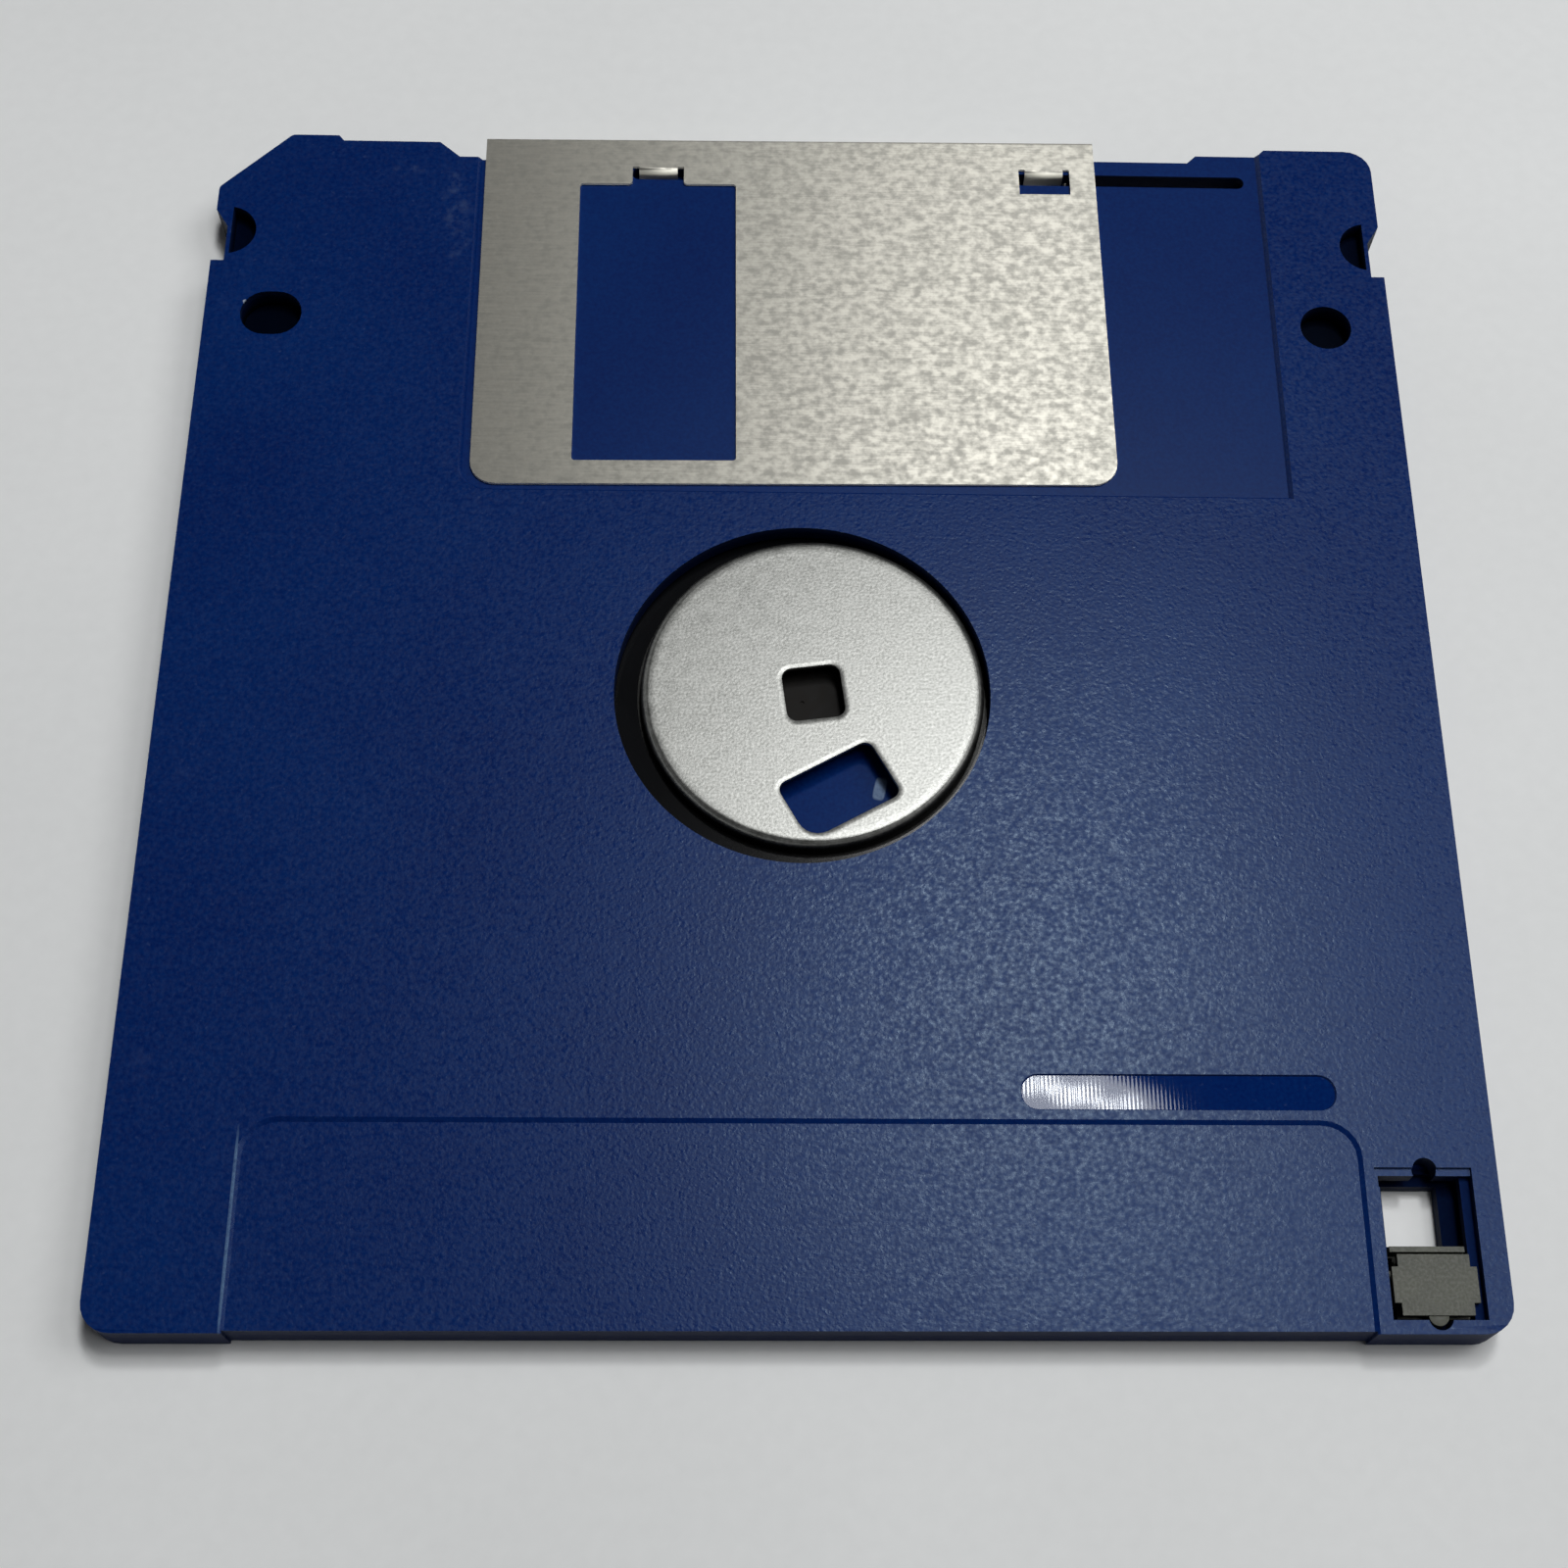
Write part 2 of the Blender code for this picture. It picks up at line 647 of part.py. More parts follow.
def cut_label_recess(shell, tag, face, outward, reach):
    """The label recess of one face, and its wrap round the rear edge."""
    combine(
        shell,
        sunk_recess(tag + "_label_recess", label_outline(reach), face, outward, LABEL_DEPTH, LABEL_DRAFT),
    )
    half = (LABEL_WIDTH - LABEL_DRAFT) / 2
    wrap = rectangle(-half, half, rear - TOOL_REACH, rear + LABEL_DEPTH)
    combine(shell, flat_plate(tag + "_label_wrap", [wrap], -TOOL_REACH, case_height + TOOL_REACH))


def tab_channel(tag, low, high):
    outline = rectangle(channel_left, channel_right, well_rear, well_front)
    return flat_plate(tag + "_tab_channel", [outline], low, high)


def make_back_shell():
    """The hub-side half of the case, which faces up."""
    low = parting + SEAM_GAP / 2
    shell = flat_plate("back_shell", [case_outline()], low, case_height)
    keep(shell, parts, shell_plastic)
    round_rim(shell, case_height, RIM_RADIUS)
    cut_both_faces(shell, "back", case_height, 1)
    cut_label_recess(shell, "back", case_height, 1, LABEL_HUB_REACH)
    cavity = cylinder("back_cavity", 0, hub_y, cavity_radius, low - TOOL_REACH, ceiling)
    collar = cylinder(
        "back_collar",
        0,
        hub_y,
        hub_hole_radius + HUB_COLLAR_WALL,
        ceiling - HUB_COLLAR_HEIGHT,
        ceiling + TOOL_REACH,
        ROUND_SIDES,
    )
    combine(cavity, collar)
    combine(shell, cavity)
    hub_hole = cylinder("back_hub_hole", 0, hub_y, hub_hole_radius, low - TOOL_REACH, case_height + TOOL_REACH)
    combine(shell, hub_hole)
    hollow_corners(shell, "back", low - TOOL_REACH, ceiling)
    cut_spring_pocket(shell, "back", low - TOOL_REACH, parting + spring_half_room())
    cut_locating_holes(shell)
    cut_thumb_pockets(shell)
    cut_smooth_recess(shell)
    cut_write_protect_well(shell, low)
    for place, (x, y) in pin_places().items():
        radius = PIN_DIAMETER / 2 + PIN_CLEARANCE
        height = low + PIN_HEIGHT + PIN_CLEARANCE
        socket = cylinder("back_socket_" + place, x, y, radius, low - TOOL_REACH, height, SMALL_SIDES)
        combine(shell, socket)
    smooth(shell)
    return shell


def cut_locating_holes(shell):
    low = floor_top
    high = case_height + TOOL_REACH
    round_hole = cylinder(
        "locating_hole", locating_x, locating_y, LOCATING_HOLE / 2, low, high, SMALL_SIDES
    )
    combine(shell, round_hole)
    half = LOCATING_HOLE / 2
    slot = rectangle(
        -locating_x - LOCATING_SLOT / 2,
        -locating_x + LOCATING_SLOT / 2,
        locating_y - half,
        locating_y + half,
        half * 0.98,
    )
    combine(shell, flat_plate("locating_slot", [slot], low, high))


def cut_thumb_pockets(shell):
    """Half-round pockets that deepen the handling notches on the hub side."""
    y = front - THUMB_POCKET_SETBACK
    low = case_height - THUMB_POCKET_DEPTH
    for hand, label in ((-1, "left"), (1, "right")):
        x = hand * (side - NOTCH_DEPTH)
        wall = hand * (side - NOTCH_DEPTH - THUMB_POCKET_WALL)
        half_moon = [
            (corner_x, corner_y)
            for corner_x, corner_y in circle(x, y, THUMB_POCKET_RADIUS, SMALL_SIDES)
            if hand * corner_x < hand * wall
        ]
        reach = math.sqrt(THUMB_POCKET_RADIUS ** 2 - THUMB_POCKET_WALL ** 2)
        first = 0
        for index, (corner_x, corner_y) in enumerate(half_moon):
            if math.dist((corner_x, corner_y), half_moon[index - 1]) > THUMB_POCKET_RADIUS:
                first = index
        half_moon = half_moon[first:] + half_moon[:first]
        half_moon = [(wall, y + hand * reach)] + half_moon + [(wall, y - hand * reach)]
        high = case_height + TOOL_REACH
        combine(shell, flat_plate("thumb_pocket_" + label, [half_moon], low, high))


def cut_smooth_recess(shell):
    draft = SMOOTH_RECESS_DEPTH / 2
    right = side - SMOOTH_RECESS_INSET
    y_low = rear + LABEL_HUB_REACH + SMOOTH_RECESS_GAP
    outline = rectangle(
        right - SMOOTH_RECESS_LENGTH - draft,
        right + draft,
        y_low - draft,
        y_low + SMOOTH_RECESS_WIDTH + draft,
        SMOOTH_RECESS_WIDTH / 2,
    )
    tool = sunk_recess("smooth_recess", outline, case_height, 1, SMOOTH_RECESS_DEPTH, draft)
    combine(shell, tool)


def cut_write_protect_well(shell, low):
    """The well for the tab: an opening with a ledge, two nicks, and a wider channel under its lips."""
    high = case_height + TOOL_REACH
    deep_right = well_right - WELL_LEDGE_WIDTH
    deep_front = well_front - WELL_STEP_WIDTH
    opening = rectangle(well_left, deep_right, well_rear, deep_front)
    combine(shell, flat_plate("well_opening", [opening], low - TOOL_REACH, high))
    ledge = rectangle(deep_right - RIB_THICKNESS, well_right, well_rear, deep_front)
    combine(shell, flat_plate("well_ledge", [ledge], case_height - WELL_LEDGE_DEPTH, high))
    step = rectangle(well_left - WELL_STEP_DEPTH, well_right, deep_front - RIB_THICKNESS, well_front)
    combine(shell, flat_plate("well_step", [step], case_height - WELL_STEP_DEPTH, high))
    combine(shell, tab_channel("back", low - TOOL_REACH, ceiling - WELL_LIP))
    middle = (well_left + well_right) / 2
    pull_in = WELL_NICK_RADIUS - WELL_NICK_REACH
    for label, y in (("rear", well_rear + pull_in), ("front", well_front - pull_in)):
        nick = cylinder("well_nick_" + label, middle, y, WELL_NICK_RADIUS, low - TOOL_REACH, high, SMALL_SIDES)
        combine(shell, nick)


def make_front_shell():
    """The label-side half of the case, which it lies on."""
    high = parting - SEAM_GAP / 2
    shell = flat_plate("front_shell", [case_outline()], 0, high)
    keep(shell, parts, shell_plastic_label)
    round_rim(shell, 0, RIM_RADIUS)
    cut_both_faces(shell, "front", 0, -1)
    cut_label_recess(shell, "front", 0, -1, LABEL_FACE_REACH)
    cavity = cylinder("front_cavity", 0, hub_y, cavity_radius, floor_top, high + TOOL_REACH)
    ring_loops = [
        circle(0, hub_y, LINER_RING_RADIUS + LINER_RING_WALL),
        circle(0, hub_y, LINER_RING_RADIUS),
    ]
    ring = flat_plate("front_liner_ring", ring_loops, 0, floor_top + LINER_RING_HEIGHT)
    combine(cavity, ring)
    combine(shell, cavity)
    hollow_corners(shell, "front", floor_top, high + TOOL_REACH)
    cut_spring_pocket(shell, "front", parting - spring_half_room(), high + TOOL_REACH)
    combine(shell, tab_channel("front", floor_top, high + TOOL_REACH))
    hole_right = well_right - WELL_LEDGE_WIDTH - PROTECT_HOLE_INSET
    hole_front = well_front - PROTECT_HOLE_SETBACK
    hole = rectangle(
        hole_right - PROTECT_HOLE_WIDTH, hole_right, hole_front - PROTECT_HOLE_LENGTH, hole_front
    )
    combine(shell, flat_plate("protect_hole", [hole], -TOOL_REACH, parting))
    lifter_room = lifter_limits(LIFTER_POCKET_GAP)
    pocket = flat_plate(
        "lifter_pocket", [rectangle(*lifter_room)], floor_top - LIFTER_POCKET_DEPTH, parting
    )
    combine(shell, pocket)
    arrow_x = -side + ARROW_INSET
    arrow_tip = front - ARROW_SETBACK
    arrow = [
        (arrow_x - ARROW_WIDTH / 2, arrow_tip - ARROW_LENGTH),
        (arrow_x + ARROW_WIDTH / 2, arrow_tip - ARROW_LENGTH),
        (arrow_x, arrow_tip),
    ]
    combine(shell, flat_plate("insertion_arrow", [arrow], -TOOL_REACH, ARROW_DEPTH))
    for place, (x, y) in pin_places().items():
        pin = cylinder(
            "front_pin_" + place, x, y, PIN_DIAMETER / 2, floor_top / 2, high + PIN_HEIGHT, SMALL_SIDES
        )
        combine(shell, pin, "UNION")
    smooth(shell)
    return shell


# Shutter

def bent_lug(name, x, width, reach, hand):
    """A lug bent in from a hole's front edge: hand is 1 on the hub side and -1 on the label side."""
    middle = case_height / 2
    face = middle - SHUTTER_SINK
    inner = face - SHUTTER_SHEET
    half = SHUTTER_SHEET / 2
    root = LUG_ROOT + LUG_BEND
    profile = rounded([
        (root, face, 0.0),
        (-half, face, LUG_BEND),
        (-half, face - reach, 0.0),
        (half, face - reach, 0.0),
        (half, inner, LUG_BEND - SHUTTER_SHEET),
        (root, inner, 0.0),
    ])
    profile = [(y + LUG_OFFSET, middle + hand * z) for y, z in profile]
    return flat_plate(name, [profile], x - width / 2, x + width / 2, ALONG_X)


def make_shutter():
    """One folded sheet: a U round the front edge, trimmed to its plan, with four bent-in lugs."""
    carrier = bpy.data.objects.new("shutter_carrier", None)
    parts.objects.link(carrier)
    carrier.location = (shutter_x, lug_y, 0)
    carrier.rotation_euler.z = SHUTTER_SKEW
    top = case_height - SHUTTER_SINK
    nose = shutter_front - lug_y
    tail = shutter_rear - lug_y
    sheet = SHUTTER_SHEET
    fold = rounded([
        (tail, SHUTTER_SINK, 0.0),
        (nose, SHUTTER_SINK, SHUTTER_BEND),
        (nose, top, SHUTTER_BEND),
        (tail, top, 0.0),
        (tail, top - sheet, 0.0),
        (nose - sheet, top - sheet, SHUTTER_BEND - sheet),
        (nose - sheet, SHUTTER_SINK + sheet, SHUTTER_BEND - sheet),
        (tail, SHUTTER_SINK + sheet, 0.0),
    ])
    half = SHUTTER_WIDTH / 2
    shutter = flat_plate("shutter", [fold], -half, half, ALONG_X)
    keep(shutter, parts, shutter_steel, carrier)
    window = window_x - shutter_x
    spring_lug = spring_lug_x - shutter_x
    window_rear = tail + SHUTTER_REAR_MARGIN
    window_front = -SHUTTER_WINDOW_LUG_GAP
    window_half = SHUTTER_WINDOW_WIDTH / 2
    lug_root = LUG_OFFSET + LUG_ROOT
    hole_half = LUG_HOLE_WIDTH / 2
    window_hole = rounded([
        (window - window_half, window_rear, SHUTTER_WINDOW_RADIUS),
        (window + window_half, window_rear, SHUTTER_WINDOW_RADIUS),
        (window + window_half, window_front, SHUTTER_WINDOW_RADIUS),
        (window + hole_half, window_front, SHUTTER_WINDOW_RADIUS),
        (window + hole_half, lug_root, 0.0),
        (window - hole_half, lug_root, 0.0),
        (window - hole_half, window_front, SHUTTER_WINDOW_RADIUS),
        (window - window_half, window_front, SHUTTER_WINDOW_RADIUS),
    ])
    lug_hole = rectangle(
        spring_lug - hole_half, spring_lug + hole_half, lug_root - LUG_HOLE_LENGTH, lug_root
    )
    plan = rounded([
        (-half, tail, SHUTTER_CORNER),
        (half, tail, SHUTTER_CORNER),
        (half, nose + TOOL_REACH, 0.0),
        (-half, nose + TOOL_REACH, 0.0),
    ])
    low, high = -TOOL_REACH, case_height + TOOL_REACH
    combine(shutter, flat_plate("shutter_plan", [plan, window_hole, lug_hole], low, high), "INTERSECT")
    lugs = (
        ("window_lug_hub_side", window, LUG_REACH, 1),
        ("window_lug_label_side", window, LUG_REACH, -1),
        ("spring_lug_hub_side", spring_lug, SPRING_LUG_REACH, 1),
        ("spring_lug_label_side", spring_lug, LUG_REACH, -1),
    )
    for name, x, reach, hand in lugs:
        combine(shutter, bent_lug(name, x, LUG_WIDTH, reach, hand), "UNION")
    smooth(shutter)
    return shutter


def spring_half_room():
    return (SPRING_PITCH * SPRING_TURNS + SPRING_WIRE) / 2 + SPRING_CLEARANCE


def tangent_angle(point, centre, radius, hand):
    """Where on a circle the tangent from a point touches it."""
    reach = point - centre
    return math.atan2(reach.y, reach.x) + hand * math.acos(radius / reach.length)


def make_spring():
    """A V-shaped torsion spring between the shutter's spring lug and the pocket's end."""
    centre = Vector((side - SPRING_COIL_INSET, front - SPRING_COIL_SETBACK))
    wire = SPRING_WIRE / 2
    tip_x = spring_lug_end + SPRING_TIP_GAP + wire
    end_x = groove_right + GROOVE_WIDTH / 2 - SPRING_TIP_GAP - wire
    moving = Vector((tip_x, lug_y - SPRING_HOOK / 2))
    fixed = Vector((end_x, lug_y - 2 * SPRING_HOOK))
    start = tangent_angle(moving, centre, SPRING_COIL_RADIUS, 1)
    stop = tangent_angle(fixed, centre, SPRING_COIL_RADIUS, -1)
    sweep = (stop - start) % (2 * math.pi) + 2 * math.pi * (SPRING_TURNS - 1)
    drop = SPRING_PITCH * SPRING_TURNS
    top = parting + drop / 2
    points = [
        (moving.x, moving.y + SPRING_HOOK, top),
        (moving.x, moving.y, top),
    ]
    steps = 14 * SPRING_TURNS
    for step in range(steps + 1):
        share = step / steps
        angle = start + sweep * share
        x = centre.x + SPRING_COIL_RADIUS * math.cos(angle)
        y = centre.y + SPRING_COIL_RADIUS * math.sin(angle)
        points.append((x, y, top - drop * share))
    points.append((fixed.x, fixed.y, top - drop))
    points.append((fixed.x, fixed.y + SPRING_HOOK, top - drop))
    curve = bpy.data.curves.new("shutter_spring", "CURVE")
    curve.dimensions = "3D"
    curve.bevel_depth = wire
    curve.bevel_resolution = 2
    curve.use_fill_caps = True
    spline = curve.splines.new("POLY")
    spline.points.add(len(points) - 1)
    for place, point in zip(spline.points, points):
        place.co = (*point, 1)
    drawn = bpy.data.objects.new("shutter_spring_wire", curve)
    bpy.context.scene.collection.objects.link(drawn)
    spring = as_mesh(drawn, "shutter_spring")
    keep(spring, parts, spring_steel)
    smooth(spring, math.radians(60))
    return spring


# Disk, hub and adhesive

def make_disk():
    """The media with its hub, all on one axis where the loose disk lies."""
    carrier = bpy.data.objects.new("disk_axis", None)
    parts.objects.link(carrier)
    carrier.location = disk_centre
    carrier.rotation_euler.z = DISK_TURN
    bore = hub_radius + MEDIA_BORE_CLEARANCE
    media = flat_plate(
        "magnetic_disk",
        [circle(0, 0, MEDIA_DIAMETER / 2), circle(0, 0, bore)],
        media_low,
        media_low + MEDIA_THICKNESS,
    )
    keep(media, parts, media_coating, carrier)
    smooth(media)
    ring_outer = flange_radius - MEDIA_BORE_CLEARANCE
    adhesive = flat_plate(
        "hub_adhesive_ring",
        [circle(0, 0, ring_outer), circle(0, 0, ring_outer - ADHESIVE_WIDTH)],
        adhesive_low,
        adhesive_low + ADHESIVE_THICKNESS,
    )
    keep(adhesive, parts, adhesive_film, carrier)
    smooth(adhesive)
    make_hub(carrier)


def make_hub(carrier):
    """A pressed cup: turned wall and flange, with the square spindle hole and the drive slot."""
    wall_inner = hub_radius - HUB_SHEET
    face_low = hub_top - HUB_SHEET
    flange_low = flange_top - HUB_SHEET
    inner_edge = HUB_EDGE_RADIUS - HUB_SHEET
    half_profile = rounded([
        (0, flange_low - TOOL_REACH, 0.0),
        (0, hub_top, 0.0),
        (hub_radius, hub_top, HUB_EDGE_RADIUS),
        (hub_radius, flange_top, 0.0),
        (flange_radius, flange_top, 0.0),
        (flange_radius, flange_low, 0.0),
        (wall_inner, flange_low, 0.0),
        (wall_inner, face_low, inner_edge),
        (0, face_low, 0.0),
    ])[1:]
    mesh = bpy.data.meshes.new("hub")
    shape = bmesh.new()
    verts = [shape.verts.new((x, 0, z)) for x, z in half_profile]
    for upper, lower in zip(verts, verts[1:]):
        shape.edges.new((upper, lower))
    shape.to_mesh(mesh)
    shape.free()
    turned = bpy.data.objects.new("hub_profile", mesh)
    bpy.context.scene.collection.objects.link(turned)
    screw = turned.modifiers.new("turn", "SCREW")
    screw.axis = "Z"
    screw.angle = 2 * math.pi
    screw.steps = ROUND_SIDES
    screw.render_steps = ROUND_SIDES
    screw.use_merge_vertices = True
    screw.merge_threshold = 1e-6
    hub = as_mesh(turned, "hub")
    keep(hub, parts, hub_steel, carrier)
    smooth(hub)
    half = HUB_SQUARE / 2
    square = rectangle(-half, half, -half, half, HUB_SQUARE_RADIUS)
    spindle_hole = flat_plate("spindle_hole", [square], flange_low - TOOL_REACH, case_height)
    spindle_hole.location.y = HUB_SQUARE_OFFSET_Y
    combine(hub, spindle_hole)
    length = DRIVE_SLOT_LENGTH / 2
    width = DRIVE_SLOT_WIDTH / 2
    slot = rounded([
        (-length, -width, DRIVE_SLOT_WIDE_RADIUS),
        (length, -width, DRIVE_SLOT_RADIUS),
        (length, width, DRIVE_SLOT_RADIUS),
        (-length, width, DRIVE_SLOT_RADIUS),
    ])
    cutter = flat_plate("drive_slot", [slot], flange_low - TOOL_REACH, case_height)
    x = DRIVE_SLOT_REACH * math.cos(DRIVE_SLOT_BEARING)
    y = DRIVE_SLOT_REACH * math.sin(DRIVE_SLOT_BEARING)
    cutter.location.x = x
    cutter.location.y = y
    cutter.rotation_euler.z = DRIVE_SLOT_SLANT
    combine(hub, cutter)
    return hub


# Liners, lifter and wear pad

def make_liner(name, paint, low):
    """A wiping ring with a slot where the heads reach the media."""
    outer = cavity_radius - LINER_EDGE_GAP
    inner = LINER_RING_RADIUS + LINER_RING_WALL + LINER_RING_GAP
    ring = [circle(0, hub_y, outer), circle(0, hub_y, inner)]
    liner = flat_plate(name, ring, low, low + LINER_THICKNESS)
    keep(liner, parts, paint)
    half = HEAD_WINDOW_WIDTH / 2 + LINER_SLOT_MARGIN
    slot_rear = head_window_rear - LINER_SLOT_MARGIN
    slot = rectangle(-half, half, slot_rear, front)
    combine(liner, flat_plate(name + "_slot", [slot], low - TOOL_REACH, low + TOOL_REACH))
    return liner


def lifter_limits(gap=0.0):
    """The lifter's plan, beside the head window, with room round it."""
    right = -HEAD_WINDOW_WIDTH / 2 - LINER_SLOT_MARGIN - LIFTER_INSET
    front_end = head_window_front - LIFTER_EDGE_GAP
    return (right - LIFTER_WIDTH - gap, right + gap, head_window_rear - gap, front_end + gap)


def make_lifter():
    """A film leaf, bonded along one side and sprung up under the liner."""
    left, right, rear_end, front_end = lifter_limits()
    low = floor_top - LIFTER_POCKET_DEPTH + LAYER_GAP
    high = floor_top
    bend = left + LIFTER_BONDED_WIDTH
    profile = [
        (left, low),
        (bend, low),
        (right, high - LIFTER_SHEET),
        (right, high),
        (bend, low + LIFTER_SHEET),
        (left, low + LIFTER_SHEET),
    ]
    lifter = flat_plate("liner_lifter", [profile], -front_end, -rear_end, ALONG_Y)
    keep(lifter, parts, lifter_film)
    return lifter


def make_wear_pad():
    """A pad under the spindle's end, with a small moulding dimple in its middle."""
    low = floor_top + LAYER_GAP
    high = low + WEAR_PAD_THICKNESS
    pad = cylinder("hub_wear_pad", 0, hub_y, WEAR_PAD_DIAMETER / 2, low, high, SMALL_SIDES)
    keep(pad, parts, pad_plastic)
    dimple = cylinder(
        "pad_dimple", 0, hub_y, WEAR_PAD_DIMPLE / 2, high - WEAR_PAD_THICKNESS / 2, high + TOOL_REACH, 12
    )
    combine(pad, dimple)
    smooth(pad)
    return pad


# Write-protect tab

def make_tab():
    """The slider: a flange under the well's lips, a neck, a notched plate and a detent nub."""
    carrier = bpy.data.objects.new("tab_carrier", None)
    parts.objects.link(carrier)
    tab_rear = well_rear + TAB_END_GAP
    carrier.location = ((well_left + well_right) / 2, tab_rear, 0)
    flange_half = (channel_right - channel_left) / 2 - TAB_SIDE_GAP
    flange_bottom = floor_top + TAB_LIFT
    lip_low = ceiling - WELL_LIP
    flange_high = lip_low - 2 * TAB_LIFT
    plate_high = case_height - TAB_RECESS
    plate_low = plate_high - TAB_PLATE
    bar_left = -WELL_WIDTH / 2 + TAB_SIDE_GAP
    bar_right = WELL_WIDTH / 2 - WELL_LEDGE_WIDTH - TAB_SIDE_GAP
    bar_rear = TAB_LENGTH - TAB_BAR
    body_front = bar_rear - TAB_SLIT
    plate_half = WELL_WIDTH / 2 - TAB_SIDE_GAP
    neck_inset = TAB_NOTCH_WIDTH + TAB_LIFT
    neck_end = TAB_NOTCH_LENGTH + TAB_LIFT
    tab = flat_plate(
        "write_protect_tab",
        [rectangle(-flange_half, flange_half, 0, TAB_LENGTH)],
        flange_bottom,
        flange_high,
    )
    keep(tab, parts, tab_plastic, carrier)
    neck_outline = rectangle(
        -plate_half + neck_inset, plate_half - neck_inset, neck_end, body_front - neck_end
    )
    neck_low = flange_high - TAB_LIFT
    neck = flat_plate("tab_neck", [neck_outline], neck_low, plate_high - TAB_PLATE / 2)
    combine(tab, neck, "UNION")
    plate = flat_plate(
        "tab_plate", [rectangle(-plate_half, plate_half, 0, body_front)], plate_low, plate_high
    )
    combine(tab, plate, "UNION")
    notch_inner = plate_half - TAB_NOTCH_WIDTH
    notch_outer = flange_half + TAB_NOTCH_WIDTH
    ends = (
        ("rear", -TAB_NOTCH_LENGTH, TAB_NOTCH_LENGTH),
        ("front", body_front - TAB_NOTCH_LENGTH, body_front),
    )
    for end, notch_rear, notch_front in ends:
        for hand, label in ((-1, "left"), (1, "right")):
            x_low, x_high = sorted((hand * notch_inner, hand * notch_outer))
            corner = flat_plate(
                f"tab_notch_{end}_{label}",
                [rectangle(x_low, x_high, notch_rear, notch_front)],
                flange_bottom - TOOL_REACH,
                plate_high + TOOL_REACH,
            )
            combine(tab, corner)
    bar = rectangle(bar_left, bar_right, bar_rear, TAB_LENGTH - TAB_LIFT)
    combine(tab, flat_plate("tab_bar", [bar], neck_low, plate_high - TAB_LIFT), "UNION")
    nub = cylinder("tab_nub", 0, 0, TAB_NUB_RADIUS, lip_low, plate_high - 2 * TAB_LIFT, SMALL_SIDES)
    combine(tab, nub, "UNION")
    smooth(tab)
    return tab


make_front_shell()
make_back_shell()
make_shutter()
make_spring()
make_disk()
make_liner("back_liner", liner_fibre, ceiling - LAYER_GAP - LINER_THICKNESS)
make_liner("front_liner", liner_fibre_label, floor_top + LAYER_GAP)
make_lifter()
make_wear_pad()
make_tab()
bpy.context.view_layer.update()
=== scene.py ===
import json
import math

import bmesh
import bpy
from mathutils import Matrix, Vector

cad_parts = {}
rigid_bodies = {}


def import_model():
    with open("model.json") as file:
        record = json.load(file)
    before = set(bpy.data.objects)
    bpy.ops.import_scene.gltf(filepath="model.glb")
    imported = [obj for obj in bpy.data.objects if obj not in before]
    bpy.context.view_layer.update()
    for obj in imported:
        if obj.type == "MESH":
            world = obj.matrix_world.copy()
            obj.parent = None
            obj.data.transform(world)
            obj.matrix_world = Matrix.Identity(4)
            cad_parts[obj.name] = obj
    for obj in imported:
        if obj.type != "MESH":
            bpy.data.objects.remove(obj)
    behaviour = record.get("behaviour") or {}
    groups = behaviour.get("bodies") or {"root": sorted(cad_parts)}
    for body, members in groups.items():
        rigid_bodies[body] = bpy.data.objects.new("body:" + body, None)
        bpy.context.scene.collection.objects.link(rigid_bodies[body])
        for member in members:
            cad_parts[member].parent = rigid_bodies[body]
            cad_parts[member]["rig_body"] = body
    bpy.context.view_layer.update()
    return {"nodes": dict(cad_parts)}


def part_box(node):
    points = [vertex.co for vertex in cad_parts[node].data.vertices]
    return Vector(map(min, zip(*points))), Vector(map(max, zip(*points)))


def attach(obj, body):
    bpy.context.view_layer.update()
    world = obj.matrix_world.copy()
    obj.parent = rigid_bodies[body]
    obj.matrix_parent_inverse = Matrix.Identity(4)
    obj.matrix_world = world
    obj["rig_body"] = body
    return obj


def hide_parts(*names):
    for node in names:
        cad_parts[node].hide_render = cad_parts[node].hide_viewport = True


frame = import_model()
print("frame loaded:", len(frame["nodes"]), "nodes")

mm = 0.001
noiseRange = (0.3, 0.7)  # nearly all of a noise's values lie between these
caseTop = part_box("back_shell")[1][2] / mm
caseMiddle = caseTop / 2


# An sRGB hex colour as linear red, green and blue with a full alpha
def linear(hexCode):
    parts = [int(hexCode[i : i + 2], 16) / 255 for i in (0, 2, 4)]
    return tuple(c / 12.92 if c <= 0.04045 else ((c + 0.055) / 1.055) ** 2.4 for c in parts) + (1.0,)


# Sets a node's inputs, by name, by number or in their order, to values or to the outputs of other nodes
def feed(tree, node, inputs):
    for key, value in inputs.items() if isinstance(inputs, dict) else enumerate(inputs):
        if isinstance(value, bpy.types.NodeSocket):
            tree.links.new(value, node.inputs[key])
        else:
            node.inputs[key].default_value = value


# Adds a node with its settings and links, and gives one of its outputs
def add(tree, kind, inputs=(), output=0, **settings):
    made = tree.nodes.new("ShaderNode" + kind)
    for name, value in settings.items():
        setattr(made, name, value)
    feed(tree, made, inputs)
    return made.outputs[output]


# A new material, its tree and Principled shader, and the place on the object in millimetres
def newMaterial(name):
    made = bpy.data.materials.new(name)
    made.use_nodes = True
    tree = made.node_tree
    coordinates = add(tree, "TexCoord", output="Object")
    place = add(tree, "VectorMath", (coordinates, (1 / mm, 1 / mm, 1 / mm)), operation="MULTIPLY")
    return made, tree, tree.nodes["Principled BSDF"], place


# Lays colours over a first one, each by its own share
def layered(tree, colour, layers):
    for share, hexCode in layers:
        colour = add(tree, "Mix", {0: share, 6: colour, 7: linear(hexCode)}, 2, data_type="RGBA")
    return colour


